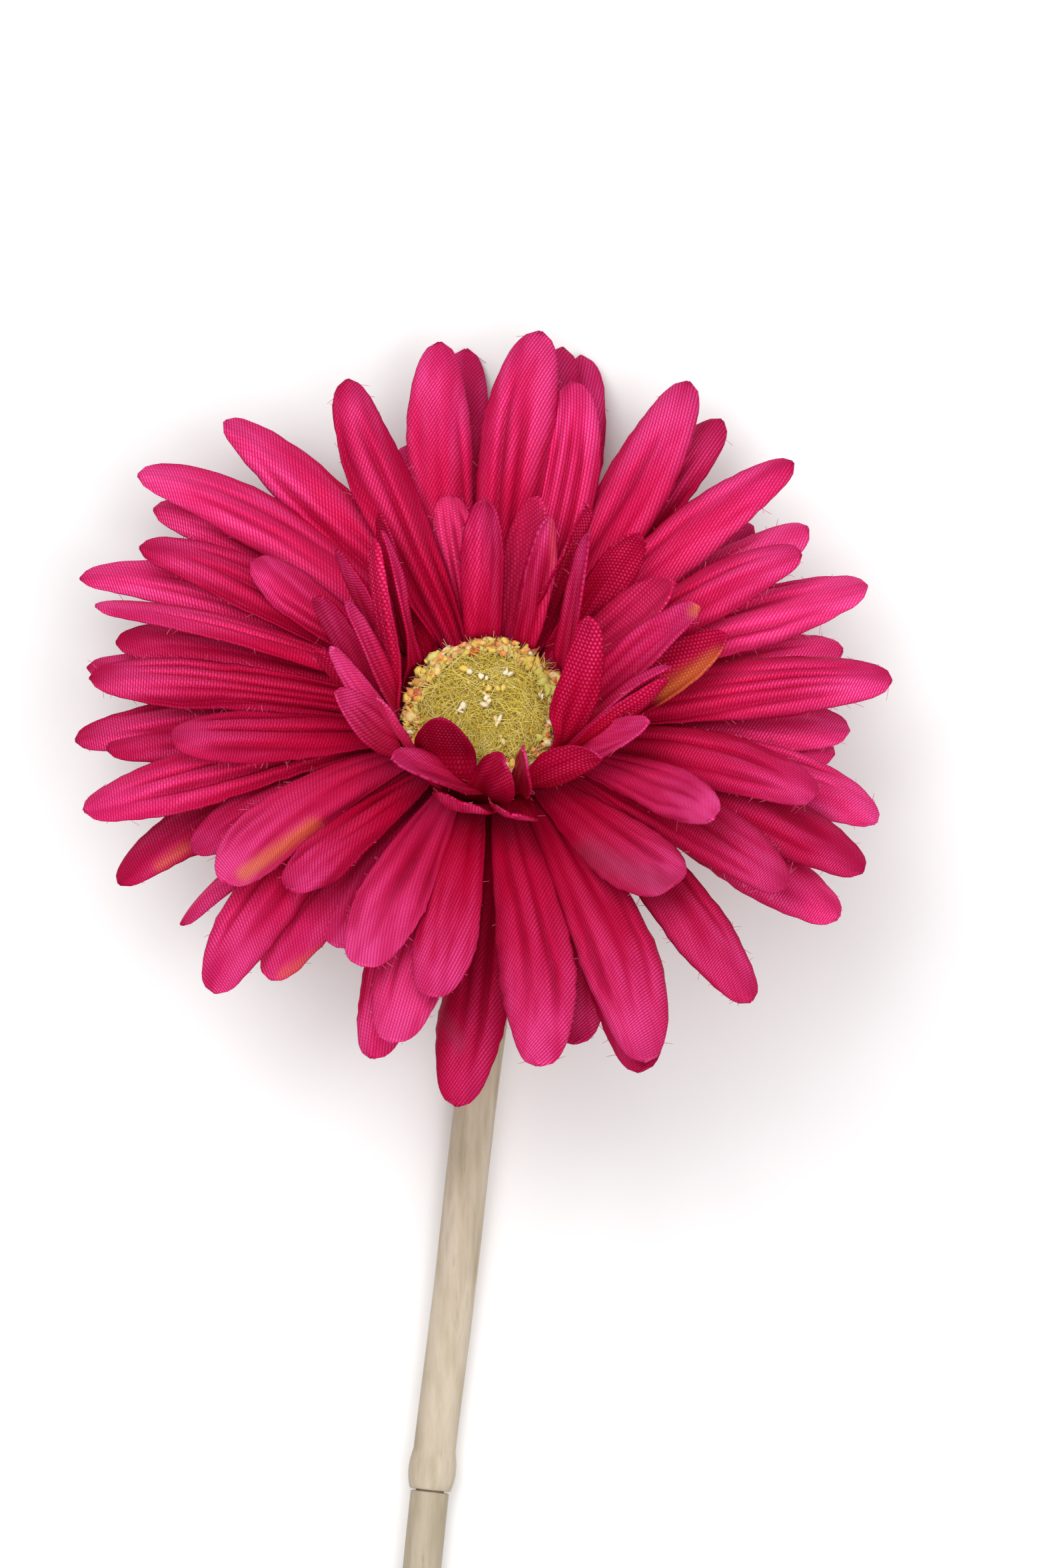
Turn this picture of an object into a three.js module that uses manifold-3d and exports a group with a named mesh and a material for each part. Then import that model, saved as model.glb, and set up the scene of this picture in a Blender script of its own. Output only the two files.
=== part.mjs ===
// An artificial gerbera on a long stem, lying on a flat surface with its face up.
// Millimetres. +Z is up, +Y runs from the stem's cut end to the head, and Z = 0 is the surface.
import * as THREE from "three";
import { mergeVertices } from "three/addons/utils/BufferGeometryUtils.js";
import Module from "manifold-3d";

const wasm = await Module();
wasm.setup();

// The head: how far its axis leans from upright, towards +Y and a little to -X
const LEAN = 28;
const LEAN_TO_LEFT = 8;
const HUB_HEIGHT = 27.8; // the lowest fabric disc's centre above the surface
const PLAY = 0.3; // clearance between pieces that are pushed or glued together
const SLIVER = 0.2; // edges this short, left where petals join, are merged away

// The fabric discs, stacked on the calyx peg
const FABRIC = 0.7;
const DISC_PITCH = FABRIC + PLAY;
const DISC_HOLE = 2.4;
const DISC_RIM = 8.6;
const ROOT_RADIUS = 6.4; // petal roots are sunk flat into their disc as far in as this
const LEAVE_RADIUS = 8.2; // and rise out of it from here
const SAG = 9; // degrees that a sideways petal's root points above its tip

// The flocked button in the middle and the ring of glued crumbs round its rim
const BUTTON_RADIUS = 9.8;
const BUTTON_SIDE = 1.5;
const BUTTON_SIDES = 20;
const BUTTON_CROWN = 4.3;
const CRUMB_RING_RADIUS = 10.5;
const FLOCK_COUNT = 70;
const CRUMB_COUNT = 32;

// The calyx under the head, and the stem with its wire core
const CALYX_DEPTH = 11;
const CALYX_RADIUS = 8;
const SEPAL_COUNT = 9;
const PEG_RADIUS = 2;
const PEG_TOP = 2.4; // how far the peg stands into the button
const SOCKET_DEPTH = 6;
const STEM_RADIUS = 2.85;
const TAIL_RADIUS = 2.6;
const KNUCKLE_RADIUS = 3.2;
const KNUCKLE_LENGTH = 5.4;
const SPIGOT_RADIUS = 1.9;
const SPIGOT_LENGTH = 6;
const WIRE_RADIUS = 0.9;
const WIRE_BORE = WIRE_RADIUS + PLAY;
const STEM_SIDES = 10;
const BORE_SIDES = 6;
const UPPER_STEPS = 20;
const TAIL_STEPS = 8;

// The stem's centre line from the end of the calyx: right of the hub, beyond it, and above the surface.
// It lies on its knuckle and on its cut end, which are flattened a little there
const STEM_ROUTE = [
  [1.2, -8.8, 12.4],
  [1.5, -14.1, 7.6],
  [1.4, -21, 4.7],
  [0.6, -30, 3.5],
  [-2, -50, 3.25],
  [-4.7, -74, 3.18],
  [-8, -101, 3.1],
  [-12.6, -150, 2.96],
  [-17, -210, 2.8],
  [-20.5, -270, 2.64],
  [-23, -325, 2.5],
];
const KNUCKLE_BEYOND = -101;

const rad = THREE.MathUtils.degToRad;

// Seeded random numbers from 0 to 1
function randomSource(seed) {
  let state = seed;
  return () => {
    state = (state * 1664525 + 1013904223) % 4294967296;
    return state / 4294967296;
  };
}

// A closed geometry as a solid that can be joined and cut
function toSolid(geometry) {
  const bare = geometry.clone();
  bare.deleteAttribute("normal");
  bare.deleteAttribute("uv");
  const merged = mergeVertices(bare, 1e-4);
  return new wasm.Manifold(
    new wasm.Mesh({
      numProp: 3,
      vertProperties: new Float32Array(merged.attributes.position.array),
      triVerts: new Uint32Array(merged.index.array),
    }),
  );
}

function toGeometry(solid) {
  const mesh = solid.getMesh();
  const geometry = new THREE.BufferGeometry();
  geometry.setAttribute("position", new THREE.BufferAttribute(mesh.vertProperties, 3));
  geometry.setIndex(new THREE.BufferAttribute(mesh.triVerts, 1));
  geometry.computeVertexNormals();
  return geometry;
}

// One body from several that reach into each other: a hollow that they seal off is filled and a
// loose scrap is dropped
function joinAll(solids) {
  const bodies = solids.reduce((whole, next) => whole.add(next)).decompose();
  return bodies.reduce((largest, body) => (body.volume() > largest.volume() ? body : largest));
}

// The same body without slivers
const tidied = (solid) => joinAll([solid.simplify(SLIVER)]);


// What would reach below the surface
const underSurface = toSolid(new THREE.BoxGeometry(900, 900, 20).translate(0, 0, -10));

// A solid of revolution about Z from [radius, height] points
function turned(points, segments) {
  const profile = points.map(([r, z]) => new THREE.Vector2(r, z));
  return new THREE.LatheGeometry(profile, segments).rotateX(Math.PI / 2);
}

// The head leans by this turn, and its axis points this way
const headTurn = new THREE.Quaternion().setFromEuler(
  new THREE.Euler(-rad(LEAN), 0, rad(LEAN_TO_LEFT), "ZXY"),
);
const headAxis = new THREE.Vector3(0, 0, 1).applyQuaternion(headTurn);

// A petal tip in the head's own frame, from where it is seen from straight above, in mm right of
// and beyond the hub, and from how high it stands over the plane of the lowest disc
function tipPlace(right, beyond, height) {
  const z = (height - headAxis.x * right - headAxis.y * beyond) / headAxis.z;
  return new THREE.Vector3(right, beyond, z).applyQuaternion(headTurn.clone().invert());
}

// Outer discs from the lowest up. A petal is [right, beyond, height, swing, width, roll]: the first
// three place its tip, swing is how many degrees its root is turned from the tip's direction
const outerDiscs = [
  {
    name: "petals_outer_lowest",
    rise: -6,
    petals: [
      [-54, 9.8, 1, -3, 7.5, 0],
      [-2.9, 51.9, 0, 0, 9.5, 0],
      [12.4, 51.9, 0, 0, 9.5, 0],
      [35.4, 28.9, -1, 0, 9, 0],
      [48.4, 1.3, 0, 0, 9, 0],
      [46.4, -1.8, -2, 0, 9, 0],
      [51.8, -11.2, 2, 0, 9.5, 0],
      [47.2, -22.4, 1, 6, 9.3, 0],
      [11.3, -40.7, 0, 0, 10, 0],
      [-4.4, -49, 0, 5, 9, 0],
      [-15.6, -42.6, 1, -2, 9.5, 0],
      [-41.2, -24.5, 0, -10, 7, 0],
      [-49.6, -19.2, 1, -8, 8.5, 0],
    ],
  },
  {
    name: "petals_outer_lower",
    rise: 3,
    petals: [
      [-45.2, 31.2, 6, -3, 8, 0],
      [-55.1, 22, 6, -3, 7.5, 0],
      [-50.2, 13.4, 6, -3, 8, 0],
      [-55.6, 0.4, 5, -5, 8.5, 0],
      [-51.3, -1.1, 5, -4, 8.5, 0],
      [9.9, 52.9, 5, 0, 10, 0],
      [30.6, 42.6, 5, 3, 8.5, 0],
      [42.7, 28.3, 5, 0, 9, 0],
      [50.2, -17, 6, 0, 10, 0],
      [20.2, -44.4, 6, 0, 10.5, 0],
      [-29.4, -32, 6, -8, 9.3, 0],
      [-39.7, -15.2, 6, -5, 8.5, 0],
      [-20.5, -27.7, 5, 0, 9.5, 0],
      [-11.5, 39.5, 4, 0, 9, 0],
    ],
  },
  {
    name: "petals_outer_upper",
    rise: 10,
    petals: [
      [-35.6, 42.6, 11, -6, 8, 0],
      [-47.3, 35.8, 12, -3, 8.3, 0],
      [-47, 26.9, 12, -3, 8.3, 0],
      [-52.9, 18.1, 11, -3, 8, 0],
      [-53.7, 8.5, 11, -2, 8.3, 0],
      [-6.6, 53.5, 10, 0, 9, 0],
      [6.6, 55.1, 10, 0, 10.5, 0],
      [26.8, 48.2, 10, -6, 9.6, 0],
      [40.3, 37.6, 11, 0, 8.5, 0],
      [50.8, 20.4, 11, 3, 8.8, 0],
      [54.2, 8, 11, 0, 10, 0],
      [43, -8, 11, 0, 9.5, 0],
      [39.4, -20.1, 10, 0, 10, 0],
      [34.3, -34.8, 10, 7, 9.5, 0],
      [20.7, -42.9, 11, 0, 10.7, 0],
      [6.6, -43.5, 11, 0, 10.7, 0],
      [-12.9, -40.5, 9, 0, 10, 0],
      [-36.8, -33.6, 10, -7, 9, 0],
      [-54.3, -9.6, 11, -4, 9.2, 0],
    ],
  },
  {
    name: "petals_outer_top",
    rise: 14,
    petals: [
      [-19.1, 48.5, 15, 0, 9.5, 0],
      [11.3, 47.8, 15, 0, 9.5, 0],
      [41.7, 25, 15, 0, 8.5, 0],
      [-31.6, 24.3, 13, 0, 8, 0],
      [-42.6, 1.1, 15, 0, 9, 0],
      [-34.8, -19.5, 14, 0, 10, 0],
      [-27.2, -20.1, 12, 0, 9.5, 0],
      [-17.3, -30.3, 13, 0, 10.3, 0],
      [-7.5, -34.4, 12, 0, 9.5, 0],
      [26.5, -18.8, 15, 0, 10.7, 0],
      [30.5, -9.4, 17, 0, 9.5, 0],
    ],
  },
];

// The two small discs of the cup, whose petals are given in the same way. Beside the button they
// keep at least this far from its axis
const innerDiscs = [
  {
    rootRun: 8,
    droop: -16,
    keep: 13.6,
    petals: [
      [31.4, 14.8, 14, 0, 8, 0],
      [24.7, 22.4, 18, 0, 8, 0],
      [20.2, 27.7, 16, 0, 8, 0],
      [12.6, 31.7, 18, 0, 8, 0],
      [6.6, 31.7, 17, 0, 8, 0],
      [-5.9, 32.6, 15, 0, 8, 0],
      [-14.7, 30.4, 17, -6, 8, 0],
      [-15.6, 27.3, 20, 6, 8, 0],
      [-23.2, 19.2, 17, 0, 8, 0],
      [-23.6, 11.6, 17, 0, 8, 0],
      [-20, 6.7, 20, 0, 8, 0],
      [-12.9, -2.7, 18, 0, 8, 0],
      [-7.5, -6.3, 13, 0, 8, 0],
      [0.5, -8.5, 13, 0, 8, 0],
      [8, -9.5, 13, 0, 8, 0],
      [14.8, -1.8, 18, 0, 8, 0],
      [21.1, 2.7, 18, 0, 8, 0],
    ],
  },
  {
    rootRun: 5,
    droop: -2,
    keep: 12.6,
    petals: [
      [13.1, 16.5, 25, -6, 8, 0],
      [27.8, 17.9, 17, 12, 8, 0],
      [13.1, 28, 21, 0, 6, 40],
      [8.3, 29.9, 19, 4, 8, 0],
      [-1.7, 32.3, 19, 0, 8, 0],
      [-10.2, 18.3, 18, -14, 7, 0],
      [-14.2, 28.2, 21, 8, 7, 50],
      [-14.2, 21.5, 22, 10, 8, 0],
      [-20.5, 25, 18, 22, 8, 0],
      [-19.1, 18.3, 22, 20, 8, 0],
      [-20.9, 12.5, 22, 16, 7, 60],
      [-15.1, 5.5, 24, 5, 7, 60],
      [-6.2, 2.9, 26, 0, 8, 0],
      [1, -2.7, 20, -8, 8, 0],
      [4.4, -1.6, 21, 6, 7, 60],
      [22.9, 9.4, 18, -16, 7, 50],
      [23.8, 8.2, 18, -1, 7, 50],
    ],
  },
];

const CUP_LEVEL = outerDiscs.length * DISC_PITCH + 0.4;
const CUP_TOP = CUP_LEVEL + (innerDiscs.length - 1) * DISC_PITCH + FABRIC / 2;
const BUTTON_BASE = CUP_TOP + PLAY;

// Half width along a petal, as a share of its widest: narrow at the root, widest past the middle,
// with a round tip
const WIDEST_AT = 0.62;
function petalOutline(s, rootShare) {
  if (s < WIDEST_AT) return rootShare + (1 - rootShare) * Math.sin(((s / WIDEST_AT) * Math.PI) / 2);
  const past = (s - WIDEST_AT) / (1 - WIDEST_AT);
  return (1 - 0.45 * past ** 1.6) * Math.sqrt(1 - 0.97 * past ** 8);
}

// A closed sheet whose two faces are split into the same triangles. place(u, s, face) gives a point,
// u from -1 to 1 across, s from 0 to 1 along, and face 1 on top and -1 below
function sheetSolid(across, stations, place) {
  const rows = stations.length;
  const columns = across.length;
  const points = [];
  for (const face of [1, -1])
    for (const s of stations) for (const u of across) points.push(place(u, s, face));
  const at = (face, row, column) => (face > 0 ? 0 : rows * columns) + row * columns + column;
  const triangles = [];
  const quad = (a, b, c, d) => triangles.push(a, b, c, a, c, d);
  for (let row = 0; row < rows - 1; row++)
    for (let column = 0; column < columns - 1; column++) {
      const corners = (face) => [
        at(face, row, column),
        at(face, row + 1, column),
        at(face, row + 1, column + 1),
        at(face, row, column + 1),
      ];
      const [a, b, c, d] = corners(1);
      const [e, f, g, h] = corners(-1);
      quad(a, b, c, d);
      triangles.push(e, h, g, e, g, f);
    }
  for (let row = 0; row < rows - 1; row++) {
    const last = columns - 1;
    quad(at(1, row, 0), at(-1, row, 0), at(-1, row + 1, 0), at(1, row + 1, 0));
    quad(at(1, row, last), at(1, row + 1, last), at(-1, row + 1, last), at(-1, row, last));
  }
  for (let column = 0; column < columns - 1; column++) {
    const last = rows - 1;
    quad(at(1, 0, column), at(1, 0, column + 1), at(-1, 0, column + 1), at(-1, 0, column));
    quad(at(1, last, column), at(-1, last, column), at(-1, last, column + 1), at(1, last, column + 1));
  }
  const geometry = new THREE.BufferGeometry().setFromPoints(points);
  geometry.setIndex(triangles);
  return geometry;
}

// The line down the middle of a petal: out of its disc at a rise, then over to its tip
function petalMidline(tip, heading, level, form) {
  const outward = new THREE.Vector3(Math.cos(heading), Math.sin(heading), 0);
  const root = outward.clone().multiplyScalar(LEAVE_RADIUS).setZ(level);
  const leaving = outward.clone().multiplyScalar(Math.cos(rad(form.rise)));
  leaving.z = Math.sin(rad(form.rise));
  const first = root.clone().addScaledVector(leaving, form.rootRun);
  const chord = tip.clone().sub(first);
  const flat = Math.hypot(chord.x, chord.y);
  const arrival = Math.atan2(chord.z, flat) - rad(form.droop);
  const arriving = new THREE.Vector3(
    (chord.x / flat) * Math.cos(arrival),
    (chord.y / flat) * Math.cos(arrival),
    Math.sin(arrival),
  );
  const second = tip.clone().addScaledVector(arriving, -form.tipRun * chord.length());
  return new THREE.CubicBezierCurve3(root, first, second, tip);
}

// Inner petals stand clear of the button and of the crumbs round it
function clearOfButton(point, keep) {
  const radius = Math.hypot(point.x, point.y);
  const beside = point.z > BUTTON_BASE - PLAY - FABRIC && point.z < BUTTON_BASE + 7;
  if (!beside || radius > keep || radius < 1) return;
  point.x *= keep / radius;
  point.y *= keep / radius;
}

// One petal: a sheet along its midline, arched across, and behind its start a flat tuck that is
// sunk into its disc
function petalSolid(midline, heading, width, roll, form) {
  const sideways = new THREE.Vector3(-Math.sin(heading), Math.cos(heading), 0);
  const tuck = new THREE.Vector3(-Math.cos(heading), -Math.sin(heading), 0);
  const place = (u, s, face) => {
    const run = Math.max(0, s);
    const along = s < 0 ? tuck.clone().negate() : midline.getTangent(run);
    const side = sideways.clone().addScaledVector(along, -along.dot(sideways)).normalize();
    side.applyAxisAngle(along, rad(roll) * Math.min(1, 2 * run));
    const up = along.clone().cross(side);
    const half = (width / 2) * petalOutline(run, form.rootShare);
    const point = midline.getPoint(run).addScaledVector(side, u * half);
    const free = THREE.MathUtils.smoothstep(Math.hypot(point.x, point.y), 8.6, 15);
    point.addScaledVector(up, -free * form.arch * half * u * u);
    if (s < 0) point.addScaledVector(tuck, LEAVE_RADIUS - ROOT_RADIUS);
    if (form.keep) clearOfButton(point, form.keep);
    return point.addScaledVector(up, (face * FABRIC) / 2);
  };
  return toSolid(sheetSolid(form.across, form.stations, place));
}

function discRing(level, thickness) {
  const low = level - thickness / 2;
  const high = level + thickness / 2;
  const outline = [
    [DISC_HOLE, low],
    [DISC_RIM, low],
    [DISC_RIM, high],
    [DISC_HOLE, high],
    [DISC_HOLE, low],
  ];
  return toSolid(turned(outline, 24));
}

const OUTER_FORM = {
  rootRun: 14,
  tipRun: 0.34,
  droop: 9,
  rootShare: 0.3,
  arch: 0.26,
  across: [-1, -0.4, 0.4, 1],
  stations: [-1, 0, 0.25, 0.5, 0.75, 0.92, 1],
};

const SEPAL_FORM = {
  rootShare: 0.5,
  arch: -0.1,
  across: [-1, 0, 1],
  stations: [0, 0.6, 1],
};

const INNER_FORM = {
  rise: 6,
  tipRun: 0.4,
  rootShare: 0.2,
  arch: -0.22,
  across: [-1, 0, 1],
  stations: [-1, 0, 0.35, 0.68, 0.9, 1],
};

// Petals of one disc, each [right, beyond, height, swing, width, roll]
function petalsOf(disc, level, form, sag) {
  return disc.petals.map(([right, beyond, height, swing, width, roll], index) => {
    const tip = tipPlace(right, beyond, height);
    const toTip = Math.atan2(tip.y, tip.x);
    const heading = toTip + rad(sag * Math.cos(toTip) + swing);
    const own = { ...form, keep: disc.keep && disc.keep + 0.3 * (index % 3) };
    return petalSolid(petalMidline(tip, heading, level, own), heading, width, roll, own);
  });
}

function outerDisc(disc, index) {
  const level = index * DISC_PITCH;
  const form = { ...OUTER_FORM, rise: disc.rise };
  return tidied(joinAll([discRing(level, FABRIC), ...petalsOf(disc, level, form, SAG)]));
}

function innerCup() {
  const petals = innerDiscs.flatMap((disc, index) => {
    const form = { ...INNER_FORM, rootRun: disc.rootRun, droop: disc.droop };
    return petalsOf(disc, CUP_LEVEL + index * DISC_PITCH, form, 0);
  });
  const depth = CUP_TOP - CUP_LEVEL + FABRIC / 2;
  return tidied(joinAll([discRing(CUP_TOP - depth / 2, depth), ...petals]));
}

// The button's outline from the axis round its side to the crown, grown by a clearance
function buttonOutline(grow) {
  const radius = BUTTON_RADIUS + grow;
  const crown = BUTTON_CROWN + grow;
  const shoulder = BUTTON_SIDE + grow;
  const outline = [
    [0, 0],
    [radius, 0],
  ];
  const steps = 4;
  for (let step = 0; step <= steps; step++) {
    const angle = (step / steps) * (Math.PI / 2);
    outline.push([radius * Math.cos(angle), shoulder + (crown - shoulder) * Math.sin(angle)]);
  }
  outline[outline.length - 1][0] = 0;
  return outline.map(([r, z]) => [r, BUTTON_BASE + z]);
}

function flockedButton() {
  const random = randomSource(11);
  const pieces = [toSolid(turned(buttonOutline(0), BUTTON_SIDES))];
  const goldenAngle = Math.PI * (3 - Math.sqrt(5));
  for (let i = 0; i < FLOCK_COUNT; i++) {
    const share = Math.sqrt((i + 0.5) / FLOCK_COUNT) * 0.9;
    const angle = i * goldenAngle;
    const height = BUTTON_SIDE + (BUTTON_CROWN - BUTTON_SIDE) * Math.sqrt(1 - share ** 2);
    const fibre = new THREE.ConeGeometry(0.3, 2.6, 3);
    fibre.translate(0, 0.4, 0);
    fibre.rotateX(Math.PI / 2);
    fibre.rotateX((random() - 0.5) * 1.7);
    fibre.rotateY((random() - 0.5) * 1.7);
    fibre.translate(
      BUTTON_RADIUS * share * Math.cos(angle),
      BUTTON_RADIUS * share * Math.sin(angle),
      BUTTON_BASE + height,
    );
    pieces.push(toSolid(fibre));
  }
  const socket = turned(
    [
      [0, BUTTON_BASE - 1],
      [PEG_RADIUS + PLAY, BUTTON_BASE - 1],
      [PEG_RADIUS + PLAY, BUTTON_BASE + PEG_TOP + PLAY],
      [0, BUTTON_BASE + PEG_TOP + PLAY],
    ],
    16,
  );
  return tidied(joinAll(pieces).subtract(toSolid(socket)));
}

function crumbRing() {
  const random = randomSource(5);
  const low = BUTTON_BASE + 0.5;
  const high = BUTTON_BASE + BUTTON_SIDE + 0.6;
  const band = turned(
    [
      [BUTTON_RADIUS + PLAY / 2, low],
      [CRUMB_RING_RADIUS + 0.4, low],
      [CRUMB_RING_RADIUS + 0.4, high],
      [BUTTON_RADIUS + PLAY / 2, high],
      [BUTTON_RADIUS + PLAY / 2, low],
    ],
    BUTTON_SIDES,
  );
  const pieces = [toSolid(band)];
  for (let i = 0; i < CRUMB_COUNT; i++) {
    const size = 0.65 + 0.35 * random();
    const crumb = new THREE.OctahedronGeometry(size * 1.15);
    crumb.rotateX(random() * Math.PI);
    crumb.rotateY(random() * Math.PI);
    const angle = ((i + 0.5 * random()) / CRUMB_COUNT) * 2 * Math.PI;
    const radius = CRUMB_RING_RADIUS + (random() - 0.6) * 1.2;
    const height = i % 2 ? high + 0.2 : low + 0.9;
    crumb.translate(radius * Math.cos(angle), radius * Math.sin(angle), height + random() * 0.5);
    pieces.push(toSolid(crumb));
  }
  const bore = toSolid(turned(buttonOutline(PLAY), BUTTON_SIDES));
  return tidied(joinAll(pieces).subtract(bore));
}

// The calyx: a moulded cup with a peg for the discs above it, a socket for the stem below, and small
// sepals round its rim
function calyx() {
  const rim = -FABRIC / 2 - PLAY;
  const body = turned(
    [
      [0, -CALYX_DEPTH],
      [4.5, -CALYX_DEPTH],
      [4.9, -CALYX_DEPTH + 2.4],
      [6.2, -CALYX_DEPTH + 5],
      [CALYX_RADIUS, rim - 1.6],
      [CALYX_RADIUS, rim],
      [PEG_RADIUS, rim],
      [PEG_RADIUS, BUTTON_BASE + PEG_TOP],
      [0, BUTTON_BASE + PEG_TOP],
    ],
    18,
  );
  const socket = turned(
    [
      [0, -CALYX_DEPTH - 1],
      [STEM_RADIUS + PLAY, -CALYX_DEPTH - 1],
      [STEM_RADIUS + PLAY, -CALYX_DEPTH + SOCKET_DEPTH],
      [0, -CALYX_DEPTH + SOCKET_DEPTH],
    ],
    16,
  );
  const sepals = [];
  for (let i = 0; i < SEPAL_COUNT; i++) {
    const heading = (i * 2 * Math.PI) / SEPAL_COUNT;
    const place = (radius, height) =>
      new THREE.Vector3(radius * Math.cos(heading), radius * Math.sin(heading), height);
    const line = new THREE.QuadraticBezierCurve3(place(4.6, -8), place(9.5, -7.2), place(12.5, -4.8));
    sepals.push(petalSolid(line, heading, 3.8, 0, SEPAL_FORM));
  }
  return joinAll([toSolid(body), ...sepals]).subtract(toSolid(socket));
}

// The stem's centre line, from inside the calyx socket to the cut end
const alongHeadAxis = (height) =>
  headAxis.clone().multiplyScalar(height).add(new THREE.Vector3(0, 0, HUB_HEIGHT));
const stemLine = new THREE.CatmullRomCurve3([
  alongHeadAxis(-CALYX_DEPTH + SOCKET_DEPTH - PLAY),
  alongHeadAxis(-CALYX_DEPTH),
  alongHeadAxis(-CALYX_DEPTH - 3),
  ...STEM_ROUTE.map((point) => new THREE.Vector3(...point)),
]);
stemLine.arcLengthDivisions = 2000;

// The share of the stem's length at which it passes a distance beyond the hub
function shareAt(beyond) {
  let [low, high] = [0, 1];
  for (let i = 0; i < 40; i++) {
    const middle = (low + high) / 2;
    if (stemLine.getPointAt(middle).y > beyond) low = middle;
    else high = middle;
  }
  return low;
}

// A stretch of the stem's centre line, from one share of its length to another. It runs straight on
// past the line's ends
class Stretch extends THREE.Curve {
  constructor(from, to) {
    super();
    this.from = from;
    this.to = to;
  }

  getPoint(t, target = new THREE.Vector3()) {
    const share = this.from + (this.to - this.from) * t;
    const inside = THREE.MathUtils.clamp(share, 0, 1);
    const past = (share - inside) * stemLine.getLength();
    return target
      .copy(stemLine.getPointAt(inside))
      .addScaledVector(stemLine.getTangentAt(inside), past);
  }
}

function rod(from, to, radius, steps, sides) {
  const section = new THREE.Shape();
  for (let side = 0; side <= sides; side++) {
    const angle = (side / sides) * 2 * Math.PI;
    const [x, y] = [radius * Math.cos(angle), radius * Math.sin(angle)];
    if (side === 0) section.moveTo(x, y);
    else section.lineTo(x, y);
  }
  return toSolid(new THREE.ExtrudeGeometry(section, { steps, extrudePath: new Stretch(from, to) }));
}

// A barrel-shaped bead round the stem, ending at a share of its length
function bead(end) {
  const share = KNUCKLE_LENGTH / stemLine.getLength();
  const at = stemLine.getPointAt(end - share / 2);
  const outline = [
    [0, -KNUCKLE_LENGTH / 2],
    [TAIL_RADIUS + 0.25, -KNUCKLE_LENGTH / 2],
    [KNUCKLE_RADIUS - 0.1, -KNUCKLE_LENGTH / 3],
    [KNUCKLE_RADIUS, 0],
    [KNUCKLE_RADIUS - 0.1, KNUCKLE_LENGTH / 4],
    [STEM_RADIUS, KNUCKLE_LENGTH / 2],
    [0, KNUCKLE_LENGTH / 2],
  ];
  const along = stemLine.getTangentAt(end - share / 2).negate();
  const turn = new THREE.Quaternion().setFromUnitVectors(new THREE.Vector3(0, 0, 1), along);
  return toSolid(turned(outline, 16).applyQuaternion(turn).translate(at.x, at.y, at.z));
}

const mmShare = 1 / stemLine.getLength();
const knuckleShare = shareAt(KNUCKLE_BEYOND);

function stemUpper() {
  const outside = joinAll([rod(0, knuckleShare, STEM_RADIUS, UPPER_STEPS, STEM_SIDES), bead(knuckleShare)]);
  const bore = rod(-0.5 * mmShare, knuckleShare + mmShare, WIRE_BORE, UPPER_STEPS, BORE_SIDES);
  const socketStart = knuckleShare - (SPIGOT_LENGTH + PLAY) * mmShare;
  const socket = rod(socketStart, knuckleShare + mmShare, SPIGOT_RADIUS + PLAY, 2, STEM_SIDES);
  return outside.subtract(bore).subtract(socket);
}

function stemTail() {
  const start = knuckleShare + PLAY * mmShare;
  const spigotStart = knuckleShare - SPIGOT_LENGTH * mmShare;
  const outside = joinAll([
    rod(start, 1, TAIL_RADIUS, TAIL_STEPS, STEM_SIDES),
    rod(spigotStart, start + 2 * mmShare, SPIGOT_RADIUS, 2, STEM_SIDES),
  ]);
  const bore = rod(spigotStart - mmShare, 1 + 0.5 * mmShare, WIRE_BORE, TAIL_STEPS, BORE_SIDES);
  return outside.subtract(bore);
}

function stemWire() {
  return joinAll([
    rod(2 * mmShare, knuckleShare, WIRE_RADIUS, UPPER_STEPS, BORE_SIDES),
    rod(knuckleShare - mmShare, 1 - 0.5 * mmShare, WIRE_RADIUS, TAIL_STEPS, BORE_SIDES),
  ]);
}

const finish = (color, roughness, metalness) =>
  new THREE.MeshStandardMaterial({ color, roughness, metalness });
const satin = finish(0xc81e50, 0.55, 0);
const flock = finish(0xb09a3c, 0.95, 0);
const crumbs = finish(0xe0b04a, 0.85, 0);
const calyxPlastic = finish(0x9aa07a, 0.6, 0);
const stemPlastic = finish(0xbfb19c, 0.7, 0);
const steel = finish(0x8c8c88, 0.4, 0.9);

// Pieces of the head are made upright round the hub, then leaned and lifted as one
const headPlace = new THREE.Matrix4().makeRotationFromQuaternion(headTurn).setPosition(0, 0, HUB_HEIGHT);
const leaned = (solid) => solid.transform(headPlace.elements);

const pieces = [
  ...outerDiscs.map((disc, index) => [disc.name, leaned(outerDisc(disc, index)), satin]),
  ["petals_inner_cup", leaned(innerCup()), satin],
  ["button", leaned(flockedButton()), flock],
  ["button_crumbs", leaned(crumbRing()), crumbs],
  ["calyx", leaned(calyx()), calyxPlastic],
  ["stem_upper", stemUpper(), stemPlastic],
  ["stem_tail", stemTail(), stemPlastic],
  ["stem_wire", stemWire(), steel],
];

// The whole flower, centred over the origin
const placed = new THREE.Group();
for (const [name, solid, material] of pieces) {
  const mesh = new THREE.Mesh(toGeometry(joinAll([solid.subtract(underSurface)])), material);
  mesh.name = name;
  placed.add(mesh);
}
const extent = new THREE.Box3().setFromObject(placed, true);
const middle = extent.getCenter(new THREE.Vector3());
placed.position.set(-middle.x, -middle.y, 0);

const gerbera = new THREE.Group();
gerbera.add(placed);
export default gerbera;
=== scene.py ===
"""An artificial gerbera lying on a pale surface, seen from straight above.

Shapes are worked out in millimetres and put into their meshes in metres.
"""

import bisect
import math
import random

import bmesh
import bpy
from mathutils import Matrix, Vector, noise


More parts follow.
